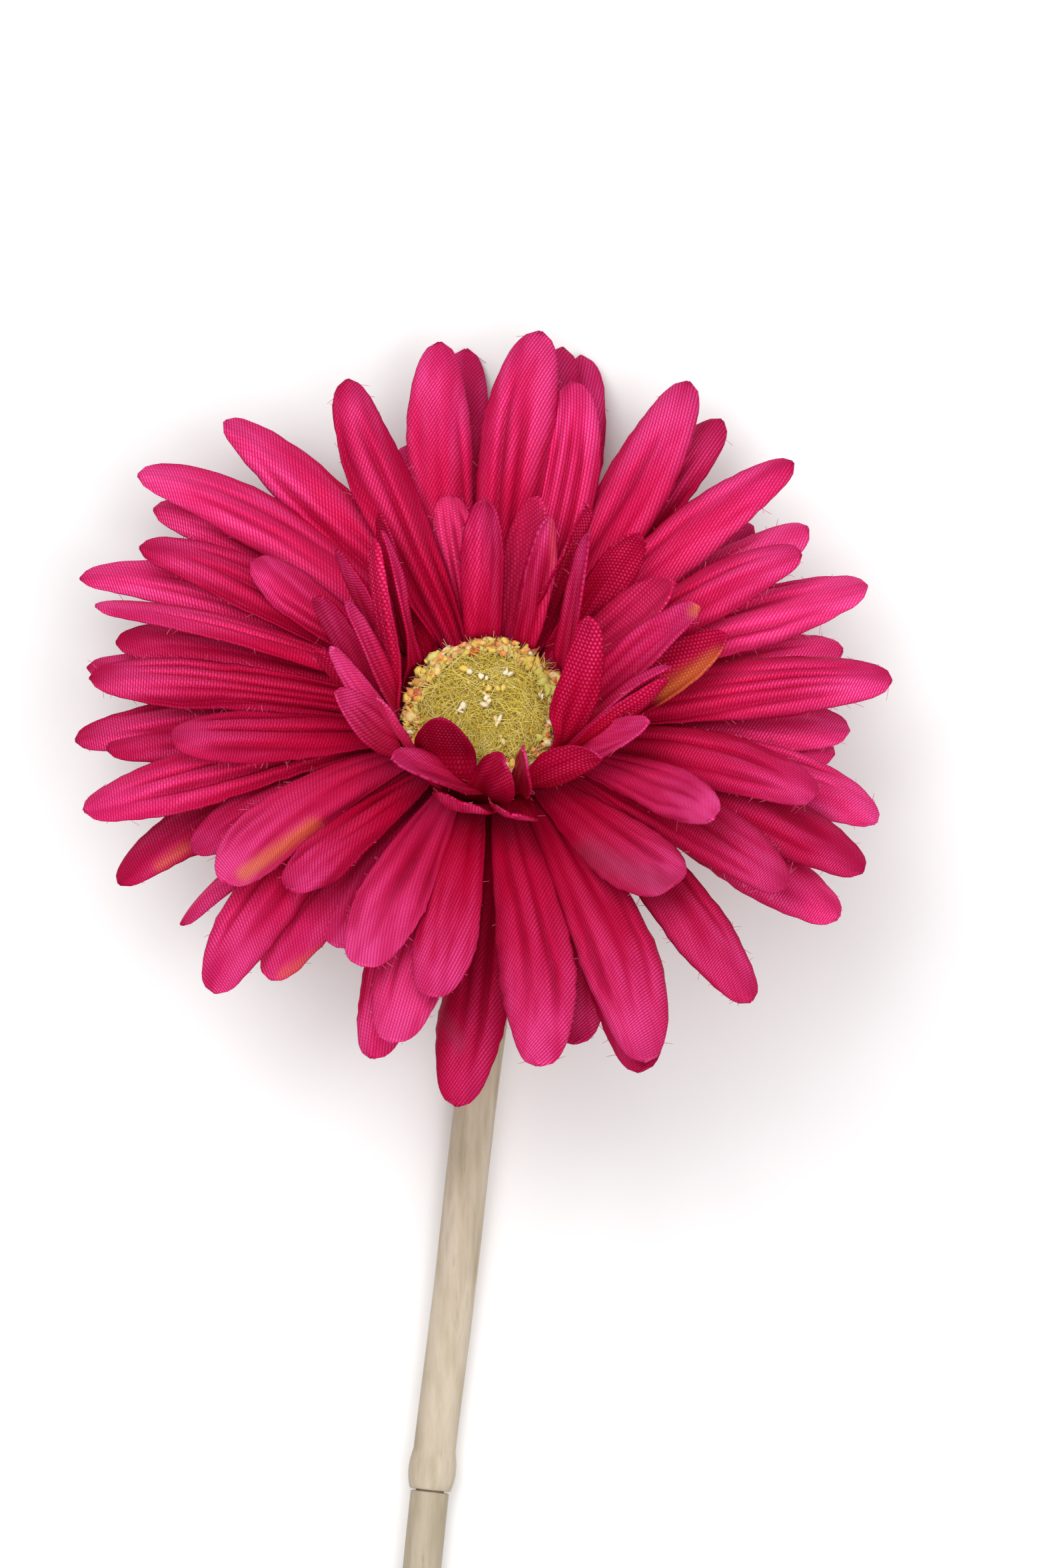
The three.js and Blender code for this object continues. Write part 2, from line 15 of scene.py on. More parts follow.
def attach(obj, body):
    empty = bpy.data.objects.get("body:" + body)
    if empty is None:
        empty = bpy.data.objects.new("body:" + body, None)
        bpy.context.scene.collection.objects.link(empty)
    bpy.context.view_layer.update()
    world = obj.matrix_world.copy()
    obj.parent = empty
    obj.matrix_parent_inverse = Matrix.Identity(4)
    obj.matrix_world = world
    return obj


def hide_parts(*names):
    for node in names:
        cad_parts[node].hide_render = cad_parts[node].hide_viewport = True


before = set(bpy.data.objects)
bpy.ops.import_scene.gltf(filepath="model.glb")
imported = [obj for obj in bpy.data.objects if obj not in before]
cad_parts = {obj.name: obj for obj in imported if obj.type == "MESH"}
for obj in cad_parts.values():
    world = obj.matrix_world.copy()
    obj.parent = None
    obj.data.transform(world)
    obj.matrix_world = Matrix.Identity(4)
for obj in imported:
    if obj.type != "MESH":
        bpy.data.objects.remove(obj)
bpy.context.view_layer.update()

MM = 0.001
rad = math.radians

# The head leans back from upright and a little to the left, on a hub above the surface
HEAD_TURN = Matrix.Rotation(rad(8), 3, "Z") @ Matrix.Rotation(-rad(28), 3, "X")
HEAD_AXIS = HEAD_TURN @ Vector((0, 0, 1))
HUB_RIGHT = 0.692
HUB_BEYOND = 134.92
HUB_HEIGHT = 27.8
HUB = Vector((HUB_RIGHT, HUB_BEYOND, HUB_HEIGHT))

# The discs of fabric, how low their petals may lie, and by how many degrees sideways ones sag
FABRIC = 0.36
LOWEST = 0.2
DISC_PITCH = 1.0
CUP_LEVEL = 4.4
DISC_HOLE = 2.4
DISC_FOLD = 5.5
DISC_RIM = 8.6
DISC_SIDES = 32
LEAVE_RADIUS = 8.2
FREE_RADIUS = 15
SAG = 9

# The button: a low dome on a short side, with felt under fibres. Where sizes or leans come in
# threes, the last is the commonest.
BUTTON_RADIUS = 9.8
BUTTON_SIDE = 1.5
BUTTON_CROWN = 4.3
BUTTON_BASE = 6.05
FELT_RADIUS = BUTTON_RADIUS - 0.3
FELT_SUNK = 0.25
BUTTON_SIDES = 48
DOME_STEPS = 12
FIBRE_COUNT = 3400
FIBRE_SUNK = 0.5
FIBRE_LEANS = (50, 92, 84)
FIBRE_LENGTHS = (1.8, 4.6)
FIBRE_RADII = (0.045, 0.075)

# Crumbs stick round the button's rim, flakes at places on its dome and small crumbs all over it
CRUMB_RING_RADIUS = 10.4
CRUMB_COUNT = 640
CRUMB_SIZES = (0.28, 0.95, 0.46)
CRUMB_STRETCH = ((0.7, 1.6), (0.5, 1.1), (0.3, 0.9))
FLAKES_AT_A_SPOT = 3
FLAKE_SIZES = (0.32, 0.6)
FLAKE_HUES = (0.3, 0.8, 0.1, 0.84)
SMALL_CRUMB_COUNT = 26
SMALL_CRUMB_SIZES = (0.16, 0.3)
SMALL_CRUMB_HUES = (0.1, 0.7, 0.95, 0.35)

# The calyx, and the stem's route from its socket, as (right, beyond, height)
CALYX_DEPTH = 11
CALYX_FOOT = -CALYX_DEPTH
SOCKET_DEPTH = 6
STEM_RADIUS = 2.85
TAIL_RADIUS = 2.6
STEM_SIDES = 28
STEM_STATIONS = 70
TAIL_STATIONS = 90
WIRE_BORE = 1.2
BORE_DEPTH = 4
STEM_ROUTE = [
    (1.2, -8.8, 12.4),
    (1.5, -14.1, 7.6),
    (1.4, -21, 4.7),
    (0.6, -30, 3.5),
    (-2, -50, 3.25),
    (-4.7, -74, 3.18),
    (-8, -101, 3.1),
    (-12.6, -150, 2.96),
    (-17, -210, 2.8),
    (-20.5, -270, 2.64),
    (-23, -325, 2.5),
]

# The knuckle where the stem's two lengths join: its radius at each share of its length, and what
# the tail sinks into it
KNUCKLE_LENGTH = 5.4
KNUCKLE_BEYOND = -101
KNUCKLE_BEAD = [
    (0, 2.85), (0.14, 3.0), (0.28, 3.14), (0.45, 3.2), (0.6, 3.2),
    (0.76, 3.1), (0.88, 2.95), (0.97, 2.8), (1, 2.65),
]
RECESS_RADIUS = 1.3
RECESS_DEPTH = 2
SPIGOT_RADIUS = 1.9
SPIGOT_LENGTH = 1.5
JOINT_GAP = 0.3

# A petal is (right, beyond, height, swing, bend, width, roll, tone): its tip as seen from straight
# above the hub, the tip's height along the head's axis, how its root and its tip are turned, how
# wide it is, how it is rolled, and how dark (below 0) or light (above 0) it is, partly by its dye
# and partly by painted shade and sheen for how the light falls on it. A ninth number says how its
# tip is cut, from blunt (-0.5) to drawn out narrow (1), and a tenth of 1 lays its back upwards.
LOWEST_PETALS = [
    (-54, 9.8, 1, -3, 0, 7, 0, -0.3),
    (-3.2, 52.8, 0, 3, -12, 9.3, 0, -0.3),
    (12.4, 51.9, 0, -4, 16, 9.3, 0, -0.3),
    (35.4, 28.9, -1, 0, 0, 9, 0, 0.3),
    (48.4, 1.3, 0, 0, 0, 8.5, 0, 0.1),
    (46.4, -1.8, -2, 0, 0, 8.5, 0, -0.2),
    (51.8, -11.2, 2, 4, -24, 8.8, 0, 0.9),
    (46.8, -23.9, 1, 4, 0, 8.6, 0, 0.5),
    (11.3, -40.7, 0, 8, -8, 10, 0, -0.5),
    (-4.4, -49, 0, 9, 0, 9, 0, -1.3),
    (-15.6, -42.6, 1, -2, 0, 9, 0, -0.2),
    (-41.2, -24.8, 0, -11, 4, 6.2, 45, 0),
    (-49.6, -19.4, 1, -10, 16, 8, 0, -1.3),
]
LOWER_PETALS = [
    (-45.2, 31, 6, -6, 24, 7.5, 0, -0.3),
    (-55.1, 21.7, 6, -13, 20, 7, 0, 0.5),
    (-50.2, 13.1, 6, -5, 12, 7.2, 0, -0.9),
    (-55.6, 0, 5, -6, 4, 7.8, 0, -0.7),
    (-51.3, -1.3, 5, -4, 0, 7.5, 0, -1.1),
    (9.9, 52.9, 5, 0, 0, 9, 0, -0.7),
    (31.4, 43, 5, 3, 0, 8.5, 0, -1.1),
    (42.9, 28.5, 5, 0, 4, 8.6, 0, 0.9),
    (47.5, 12, 5, 0, 0, 8, 0, -0.2),
    (50, -17.8, 6, 4, -12, 8.8, 0, -1.3),
    (20.2, -44.4, 6, 11, -12, 9.6, 0, -1.3),
    (-29.4, -32, 6, -8, 0, 8.5, 0, 0.1),
    (-39.7, -15, 6, -8, 4, 7.2, 0, -0.4),
    (-20.5, -27.7, 5, 0, 0, 8.8, 0, 0.9),
    (-11.5, 39.5, 4, 0, 0, 9, 0, 0.6),
]
UPPER_PETALS = [
    (-35.6, 42.8, 11, -10, 8, 7.8, 0, 0.1),
    (-47.3, 35.6, 12, -13, 24, 7.8, 0, 0.8),
    (-47, 25.9, 12, -4, 16, 7.4, 0, -0.8),
    (-52.9, 17.9, 11, -6, 12, 6.4, 35, 0.3),
    (-53.7, 8.4, 11, -1, 0, 7.3, 0, -0.8),
    (-6.6, 53.5, 10, 7, -8, 8.7, 0, -0.1),
    (11.2, 48.2, 12, -8, 16, 9, 0, -0.2),
    (26.8, 48.2, 10, -5, 8, 9.3, 0, -0.3),
    (40.8, 37.4, 11, 3, -4, 8, 0, -0.2),
    (50.8, 20.6, 11, 3, 0, 8.4, 0, 1),
    (54, 7.9, 11, 0, -4, 9, 0, -0.3),
    (43.6, -7.8, 11, 5, -12, 8.2, 0, -0.4),
    (39.4, -20, 10, 4, -12, 8.2, 0, -0.7),
    (35, -34.9, 10, 11, 2, 7.9, 0, -0.7),
    (20.7, -42.9, 11, 9, -12, 10.2, 0, -0.3),
    (6.6, -43.5, 11, 4, -12, 10.2, 0, 0.1),
    (-12.9, -40.5, 9, 0, 0, 9.6, 0, 1.1),
    (-36.6, -33.9, 10, -15, 16, 8.5, 0, -0.1),
    (-54.3, -9.6, 11, -6, -4, 8.4, 0, 0.1),
    (-5.6, 32.9, 9, 0, 0, 5.4, 0, 2, 0.1, 1),
]
TOP_PETALS = [
    (-19.1, 48.5, 15, 0, -16, 8.2, 0, -0.7),
    (6.9, 55, 14, 2, -8, 9.8, 0, -0.3),
    (41.9, 25, 15, 0, -8, 7.6, 0, -0.3),
    (-31.6, 24.3, 13, 5, -8, 6.5, 0, -0.3),
    (-42.6, 0.3, 15, 3, -8, 7.9, 0, -0.9),
    (-35, -19.4, 14, -12, 16, 8.8, 0, 0.8),
    (-26.9, -20, 12, 1, 0, 7, 0, -0.4),
    (-17.1, -30.2, 13, -1, 0, 9.6, 0, 1.2),
    (-7.7, -34.4, 12, 2, -4, 8.4, 0, -0.1),
    (24.8, -19.4, 15, -5, 0, 10.2, 0, -0.2),
    (30.2, -10.3, 17, 5, -4, 7, 0, 1.2),
]
CUP_LOWER_PETALS = [
    (24.9, 20.8, 18, 11, -10, 8, -20, 1, -0.5),
    (31.8, 14, 14, -17, -6, 7.4, 8, -0.2, -0.3),
    (20.2, 27.5, 17, -2, -27, 6.2, 46, -0.7, 0),
    (13.1, 31.6, 18, 4, -7, 5.6, 80, -0.5, 0.3),
    (6.6, 32.6, 18, 7, 4, 6, -26, 1, 0.3),
    (-14.7, 30.3, 17, 13, 19, 6.2, -89, -0.7, 0.3),
    (-20.7, 25.6, 18, 20, 4, 7.5, 69, -0.7, 0.6),
    (-23.2, 19.2, 17, 33, 9, 7.2, 59, -0.8, 0.3),
    (-3.8, -8.4, 16, -8, -2, 8.6, -5, 0, -0.5),
    (3, -9.9, 16, 2, -5, 7.1, -33, 0, -0.5),
]
CUP_UPPER_PETALS = [
    (13.3, 16.5, 27, -62, 21, 5.9, -53, -0.3, 0),
    (28.3, 17.8, 19, -18, -19, 6, 12, 0.1, 0.1),
    (13.4, 27.9, 21, -31, -11, 5.8, -15, -0.4, 1),
    (8.2, 29.9, 19, -5, -10, 4.6, 44, -0.3, 0.6),
    (-0.5, 32.4, 19, 4, 0, 6.2, -15, -0.6, -0.2),
    (-14.4, 28, 20, 29, 18, 4.5, 36, 0, 1),
    (-15.4, 27, 21, 51, -9, 4.7, 56, 0.5, 0.6),
    (-19.4, 18.4, 22, 31, 16, 5.4, -5, 0, 0.6),
    (-23.2, 11.9, 21, 13, -17, 4.8, 70, -0.3, 0.6),
    (-21.2, 12.4, 23.6, 21, 0, 3, -62, 2, 0.3),
    (-15, 5.7, 25.4, 31, -6, 4, -16, 2, 0.3),
    (-20.5, 6.5, 19, 17, -14, 6.2, -30, 0.3, 0.3),
    (-13.1, -2.6, 22, 46, 23, 6, -76, -0.2, 0.3),
    (-6.4, 2.9, 21.5, 8, 4, 8.6, 13, -1.8, -0.6),
    (2, -2.8, 24, -19, 34, 6.7, -57, -0.5, -0.5),
    (4.6, -1.5, 23.6, -5, 20, 5.7, -98, 0.3, -0.5),
    (15, -2.1, 18, -44, -28, 5.4, -47, -0.4, -0.5),
    (21.4, 2.5, 18, -12, 9, 5.4, 18, 1.1, 0.3),
    (23.8, 8.4, 19, -31, 12, 6, -42, -0.2, 0.6),
    (24, 9.8, 20, -32, -25, 5.4, -5, 0, 0.6),
]

# A disc's petals leave it at its rise, in degrees. A stain is (right, beyond, right, beyond, reach,
# tint): a stroke from one place to another, orange with a tint above 0 and grey below 0.
OUTER_DISCS = [
    {
        "node": "petals_outer_lowest",
        "rise": 3,
        "stains": [(-44.2, -17, -40.6, -14.3, 1.8, 0.5), (-6.3, -36.7, -3.8, -41, 2.2, -0.6)],
        "petals": LOWEST_PETALS,
    },
    {
        "node": "petals_outer_lower",
        "rise": 3,
        "stains": [(-27.6, -31.4, -22.4, -28.4, 1.9, 0.5)],
        "petals": LOWER_PETALS,
    },
    {
        "node": "petals_outer_upper",
        "rise": 10,
        "stains": [],
        "petals": UPPER_PETALS,
    },
    {
        "node": "petals_outer_top",
        "rise": 14,
        "stains": [(-32.9, -18, -23.6, -11.4, 2, 0.75), (13.5, -15.3, 24, -20, 4.2, -0.8)],
        "petals": TOP_PETALS,
    },
]

# The cup's two discs. keep is how far their petals stay from the button's axis beside it, and
# turned says whether their backs are up.
INNER_DISCS = [
    {
        "root_run": 6.5,
        "droop": -16,
        "keep": 12.8,
        "turned": 1,
        "stains": [(24.5, 6, 31, 10.2, 3.6, 1.2)],
        "petals": CUP_LOWER_PETALS,
    },
    {
        "root_run": 4.6,
        "droop": -2,
        "keep": 11.8,
        "turned": 0,
        "stains": [(27.6, 17.2, 28.4, 18.1, 1.8, 0.8), (8.3, 29.5, 8.6, 23.5, 1, 0.35)],
        "petals": CUP_UPPER_PETALS,
    },
]

# How the petals of the long discs and of the cup are formed. A petal's middle line leaves its root
# along root_run and comes to its tip along the share tip_run, turned down by droop. Its edges bend
# down by arch, or up below 0.
WIDEST_AT = 0.64
USUAL_POINT = 0.2
OUTER_FORM = {
    "root_run": 14,
    "tip_run": 0.34,
    "droop": 9,
    "root_share": 0.22,
    "arch": 0.26,
    "rib": 0.58,
    "wave": 0.45,
    "point": USUAL_POINT,
    "turned": 0,
    "threads": (3, 6, 10, 16, 24),
    "columns": 28,
    "rows": 32,
}
INNER_FORM = {
    "rise": 6,
    "tip_run": 0.4,
    "root_share": 0.45,
    "arch": -0.3,
    "rib": 0.25,
    "wave": 0.5,
    "point": 1,
    "threads": (2, 4, 7),
    "columns": 16,
    "rows": 24,
}


def smooth_step(value, low, high):
    """0 below low and 1 above high, smooth between them."""
    share = min(1, max(0, (value - low) / (high - low)))
    return share * share * (3 - 2 * share)


def from_head(point):
    """A point of the head's own frame, in mm, in the part's frame, in metres."""
    return (HEAD_TURN @ point + HUB) * MM


def tip_place(right, beyond, height):
    """A place seen from above the hub, at a height along the head's axis, in the head's frame."""
    lift = (height - HEAD_AXIS.x * right - HEAD_AXIS.y * beyond) / HEAD_AXIS.z
    return HEAD_TURN.transposed() @ Vector((right, beyond, lift))


def around(radius, angle, height):
    return Vector((radius * math.cos(angle), radius * math.sin(angle), height))


def petal_outline(along, root_share, point=USUAL_POINT, widest_at=WIDEST_AT):
    """Half the width at along 0 to 1, as a share of the widest; a point of 1 is drawn out."""
    if along < widest_at:
        return root_share + (1 - root_share) * (1 - (1 - along / widest_at) ** 1.6)
    past = (along - widest_at) / (1 - widest_at)
    taper = 1 - (0.5 + 0.3 * point) * past ** (1.6 - 0.2 * point)
    return taper * math.sqrt(max(0, 1 - 0.99 * past ** (8 + 10 * point)))


class Petal:
    """One blade of fabric: where each point of its middle surface lies in the head's own frame."""

    LINE_STEPS = 20
    FRAY_DEPTH = 0.055
    FRAYS = 60
    RIBS_BEGIN = (0.02, 0.3)
    RIBS_END = (0.65, 0.92)
    BUTTON_FOOT = (4, 6)
    BUTTON_TOP = (11.5, 14.5)

    def __init__(self, row, level, form, sag, seed):
        right, beyond, height, swing, bend, width, roll, tone, *more = row
        self.tip = tip_place(right, beyond, height)
        to_tip = math.atan2(self.tip.y, self.tip.x)
        self.heading = to_tip + rad(sag * math.cos(to_tip) + swing)
        self.width = width
        self.roll = rad(roll)
        self.tone = tone
        self.point = more[0] if more else form["point"]
        self.turned = more[1] if len(more) > 1 else form["turned"]
        self.form = form
        self.seed = seed
        self.widest_at = WIDEST_AT + 0.05 * math.sin(seed * 5)
        self.rib_count = 3.4 + 0.8 * math.sin(seed * 11)
        self.rib_shift = 0.5 * math.sin(seed * 17)
        self.rib_depth = form["rib"] * (0.95 + 0.45 * math.sin(seed * 23))
        self.sideways = Vector((-math.sin(self.heading), math.cos(self.heading), 0))
        outward = around(1, self.heading, 0)
        root = outward * LEAVE_RADIUS + Vector((0, 0, level))
        rise = rad(form["rise"])
        leaving = outward * math.cos(rise) + Vector((0, 0, math.sin(rise)))
        first = root + leaving * form["root_run"]
        chord = self.tip - first
        flat = math.hypot(chord.x, chord.y)
        arrival = math.atan2(chord.z, flat) - rad(form["droop"])
        way = math.atan2(chord.y, chord.x) + rad(bend)
        level_share = math.cos(arrival)
        arriving = Vector(
            (math.cos(way) * level_share, math.sin(way) * level_share, math.sin(arrival))
        )
        second = self.tip - arriving * form["tip_run"] * chord.length
        self.line = (root, first, second, self.tip)
        spots = [self.middle(step / self.LINE_STEPS) for step in range(self.LINE_STEPS + 1)]
        self.length = sum((b - a).length for a, b in zip(spots, spots[1:]))

    def middle(self, along):
        a, b, c, d = self.line
        rest = 1 - along
        near = a * rest**3 + b * (3 * rest * rest * along)
        return near + c * (3 * rest * along * along) + d * along**3

    def direction(self, along):
        a, b, c, d = self.line
        rest = 1 - along
        return (
            (b - a) * (rest * rest) + (c - b) * (2 * rest * along) + (d - c) * (along * along)
        ).normalized()

    def half_width(self, along):
        fray = 1 + self.FRAY_DEPTH * noise.noise(Vector((along * self.FRAYS, self.seed, 0)))
        outline = petal_outline(along, self.form["root_share"], self.point, self.widest_at)
        return self.width / 2 * outline * fray

    def ribs(self, across, along):
        """Pressed grooves that run together towards both ends."""
        depth = smooth_step(along, *self.RIBS_BEGIN) * (1 - smooth_step(along, *self.RIBS_END))
        wander = 0.3 * noise.noise(Vector((along * 2.2, self.seed * 3.1, across)))
        turns = (across + wander) * self.rib_count / 2 + self.rib_shift
        groove = (0.5 + 0.5 * math.cos(2 * math.pi * turns)) ** 2
        patches = noise.noise(Vector((across * 1.6, along * 2.6, self.seed * 1.7)))
        return groove * depth * max(0.1, 0.7 + 1.1 * patches)

    def place(self, across, along):
        """The point at across -1 to 1 and along 0 to 1, rolled fully from half way along."""
        direction = self.direction(along)
        side = (self.sideways - direction * direction.dot(self.sideways)).normalized()
        side.rotate(Matrix.Rotation(self.roll * min(1, 2 * along), 3, direction))
        up = direction.cross(side)
        half = self.half_width(along)
        point = self.middle(along) + side * (across * half)
        free = smooth_step(math.hypot(point.x, point.y), DISC_RIM, FREE_RADIUS)
        wave = self.form["wave"] * noise.noise(Vector((across * 0.9, along * 3.4, self.seed * 7.3)))
        arch = self.form["arch"] * half * across * across
        lift = wave - self.rib_depth * self.ribs(across, along) - arch
        point += up * (free * lift)
        keep = self.form.get("keep", 0)
        below_top = 1 - smooth_step(point.z, *self.BUTTON_TOP)
        beside = smooth_step(point.z, *self.BUTTON_FOOT) * below_top
        away = 1 + beside * max(0, keep / max(1, point.xy.length) - 1)
        return Vector((point.x * away, point.y * away, point.z))

    def cut_place(self, across, along):
        """Where the point was in the flat disc, in mm."""
        out = LEAVE_RADIUS + along * self.length
        over = across * self.half_width(along)
        turn = Matrix.Rotation(self.heading, 2)
        return turn @ Vector((out, over))


def stain_at(spot, stains):
    amount = 0
    for right, beyond, right_end, beyond_end, reach, tint in stains:
        start, end = Vector((right, beyond)), Vector((right_end, beyond_end))
        run = end - start
        share = (spot.xy - start).dot(run) / run.length_squared
        away = (spot.xy - start - run * min(1, max(0, share))).length
        amount += tint * (1 - smooth_step(away, 0, reach))
    return amount


def add_petal(mesh, petal, stains, layers):
    """A grid with its rows closer together towards the petal's tip."""
    form = petal.form
    made = bmesh.ops.create_grid(
        mesh, x_segments=form["columns"], y_segments=form["rows"], size=1
    )["verts"]
    where = {}
    for vert in made:
        across = -vert.co.x
        share = (vert.co.y + 1) / 2
        along = share * (1.3 - 0.3 * share)
        point = petal.place(across, along)
        where[vert] = (petal.cut_place(across, along), Vector((along, across * 0.5 + 0.5)))
        vert[layers["tone"]] = petal.tone
        vert[layers["stain"]] = stain_at(HEAD_TURN @ point, stains)
        vert[layers["crease"]] = petal.ribs(across, along)
        vert.co = from_head(point)
        vert.co.z = max(vert.co.z, LOWEST * MM)
    for face in {face for vert in made for face in vert.link_faces}:
        face.material_index = petal.turned
        for loop in face.loops:
            cut, own = where[loop.vert]
            loop[layers["cut"]].uv = cut
            loop[layers["petal"]].uv = own


def turned_round(mesh, outline, steps):
    """Spins (radius, height) points once round the head's axis, and returns the first ones."""
    line = [mesh.verts.new((radius, 0, height)) for radius, height in outline]
    edges = [mesh.edges.new(pair) for pair in zip(line, line[1:])]
    bmesh.ops.spin(
        mesh,
        geom=line + edges,
        cent=(0, 0, 0),
        axis=(0, 0, 1),
        dvec=(0, 0, 0),
        angle=2 * math.pi,
        steps=steps,
        use_merge=True,
        use_duplicate=False,
    )
    return line


def put_on_head(verts):
    for vert in verts:
        vert.co = from_head(vert.co.copy())


def add_disc_ring(mesh, level, layers, turned=0):
    """The middle of a fabric disc, from its hole to where the petals leave it."""
    outline = [(radius, level) for radius in (DISC_HOLE, DISC_FOLD, DISC_RIM)]
    line = turned_round(mesh, outline, DISC_SIDES)
    ring = {face for vert in line for face in vert.link_faces}
    edge = set(ring)
    while edge:
        edge = {near for face in edge for side in face.edges for near in side.link_faces} - ring
        ring |= edge
    bmesh.ops.recalc_face_normals(mesh, faces=list(ring))
    turned_down = [face for face in ring if face.normal.z < 0]
    bmesh.ops.reverse_faces(mesh, faces=turned_down)
    for face in ring:
        face.material_index = turned
        for loop in face.loops:
            loop[layers["cut"]].uv = loop.vert.co.xy
            loop[layers["petal"]].uv = (0, 0.5)
    put_on_head({vert for face in ring for vert in face.verts})


def turn_to(direction):
    """The turn that lays +Z along a direction."""
    return Vector((0, 0, 1)).rotation_difference(direction).to_matrix()


def toned_mesh():
    mesh = bmesh.new()
    return mesh, mesh.verts.layers.float.new("tone")


def finished_object(mesh, name, materials):
    data = bpy.data.meshes.new(name)
    mesh.to_mesh(data)
    mesh.free()
    for material in materials:
        data.materials.append(material)
    data.shade_smooth()
    piece = bpy.data.objects.new(name, data)
    bpy.context.scene.collection.objects.link(piece)
    return piece


def fabric_mesh():
    mesh = bmesh.new()
    layers = {
        "cut": mesh.loops.layers.uv.new("cut"),
        "petal": mesh.loops.layers.uv.new("petal"),
        "tone": mesh.verts.layers.float.new("tone"),
        "stain": mesh.verts.layers.float.new("stain"),
        "crease": mesh.verts.layers.float.new("crease"),
    }
    return mesh, layers


def fabric_object(mesh, name):
    """Fabric with its thickness: material 0 is its right side up, and material 1 its back."""
    piece = finished_object(mesh, name, [satin_right, satin_back, satin_right])
    wall = piece.modifiers.new("fabric", "SOLIDIFY")
    wall.thickness = FABRIC * MM
    wall.offset = 0
    wall.material_offset = 1
    wall.use_even_offset = False
    return piece


def srgb_colour(red, green, blue):
    """An sRGB colour of 0 to 255 as the numbers a shader takes."""
    channels = []
    for value in (red, green, blue):
        share = value / 255
        channels.append(share / 12.92 if share <= 0.04045 else ((share + 0.055) / 1.055) ** 2.4)
    return (*channels, 1.0)


class Shade:
    """An output of a finish's node tree, to do sums with."""

    def __init__(self, finish, socket):
        self.finish = finish
        self.socket = socket

    def sum_with(self, operation, first, second):
        return self.finish.add("ShaderNodeMath", {"operation": operation}, {0: first, 1: second})

    def __add__(self, other):
        return self.sum_with("ADD", self, other)

    __radd__ = __add__

    def __sub__(self, other):
        return self.sum_with("SUBTRACT", self, other)

    def __rsub__(self, other):
        return self.sum_with("SUBTRACT", other, self)

    def __mul__(self, other):
        return self.sum_with("MULTIPLY", self, other)

    __rmul__ = __mul__

    def __truediv__(self, other):
        return self.sum_with("DIVIDE", self, other)

    def __rtruediv__(self, other):
        return self.sum_with("DIVIDE", other, self)

    def whole(self):
        return self.sum_with("FLOOR", self, 0)

    def part(self):
        return self.sum_with("FRACT", self, 0)

    def most(self, other):
        return self.sum_with("MAXIMUM", self, other)

    def stepped(self, low, high):
        """0 below low and 1 above high, smooth between them."""
        return self.finish.add(
            "ShaderNodeMapRange",
            {"interpolation_type": "SMOOTHSTEP"},
            {"Value": self, "From Min": low, "From Max": high},
        )


class Finish:
    """A material whose nodes are written as sums."""

    def __init__(self, name):
        self.material = bpy.data.materials.new(name)
        self.material.use_nodes = True
        self.tree = self.material.node_tree
        self.shader = self.tree.nodes["Principled BSDF"]

    def add(self, kind, settings=None, values=None, output=0):
        """A node with its settings, then its sockets' values or links; gives one of its outputs."""
        node = self.tree.nodes.new(kind)
        for name, value in (settings or {}).items():
            if name == "stops":
                ramp = node.color_ramp
                while len(ramp.elements) < len(value):
                    ramp.elements.new(0.5)
                for element, (position, *colour) in zip(ramp.elements, value):
                    element.position = position
                    element.color = srgb_colour(*colour)
            elif name == "interpolation":
                node.color_ramp.interpolation = value
            else:
                setattr(node, name, value)
        for name, value in (values or {}).items():
            if isinstance(value, Shade):
                self.tree.links.new(value.socket, node.inputs[name])
            elif value is not None:
                node.inputs[name].default_value = value
        return Shade(self, node.outputs[output])

    def map(self, name):
        return self.add("ShaderNodeUVMap", {"uv_map": name})

    def attribute(self, name):
        return self.add("ShaderNodeAttribute", {"attribute_name": name}, output="Fac")

    def place(self):
        return self.add("ShaderNodeTexCoord", output="Object")

    def axis(self, vector, name):
        return self.add("ShaderNodeSeparateXYZ", {}, {"Vector": vector}, output=name)

    def vector_sum(self, operation, first, second=None, output=0):
        values = {0: first, 1: second}
        return self.add("ShaderNodeVectorMath", {"operation": operation}, values, output)

    def scaled(self, vector, factors):
        return self.vector_sum("MULTIPLY", vector, factors)

    def noise(self, vector, scale, detail=2.0, roughness=0.5):
        return self.add(
            "ShaderNodeTexNoise",
            {},
            {"Vector": vector, "Scale": scale, "Detail": detail, "Roughness": roughness},
        )

    def ramp(self, factor, stops, interpolation="LINEAR"):
        return self.add(
            "ShaderNodeValToRGB", {"stops": stops, "interpolation": interpolation}, {"Fac": factor}
        )

    def mix(self, factor, first, second):
        return self.add(
            "ShaderNodeMix",
            {"data_type": "RGBA", "blend_type": "MIX"},
            {0: factor, 6: first, 7: second},
            output=2,
        )

    def bump(self, height, strength, distance, under=None):
        return self.add(
            "ShaderNodeBump",
            {},
            {"Height": height, "Strength": strength, "Distance": distance, "Normal": under},
        )

    def finish(self, **values):
        for name, value in values.items():
            socket = self.shader.inputs[name.replace("_", " ")]
            if isinstance(value, Shade):
                self.tree.links.new(value.socket, socket)
            else:
                socket.default_value = value
        return self.material


# The satin's right side has slanting rows of floats, and its back has rows of dots
FLOAT_LEAN = rad(26)
FLOAT_PITCH = 0.39
FLOAT_LENGTH = 0.62
FLOAT_SHIFT = 0.38
DOT_ACROSS = 0.42
DOT_ALONG = 0.6
DOT_SHIFT = 0.5
# Colours from root to tip: the dark roots are partly dye and partly painted shade round the cup
RIGHT_DYES_AND_ROOT_SHADE = [(0.0, 96, 0, 10), (0.28, 180, 0, 42), (0.55, 202, 0, 58), (1.0, 212, 12, 88)]
BACK_DYES_AND_ROOT_SHADE = [(0.0, 96, 0, 8), (0.3, 164, 0, 32), (1.0, 204, 2, 62)]

# How closely the streaks of light lie round a disc, and how short they are
STREAK_CLOSENESS = 17
STREAK_STEP = 0.07


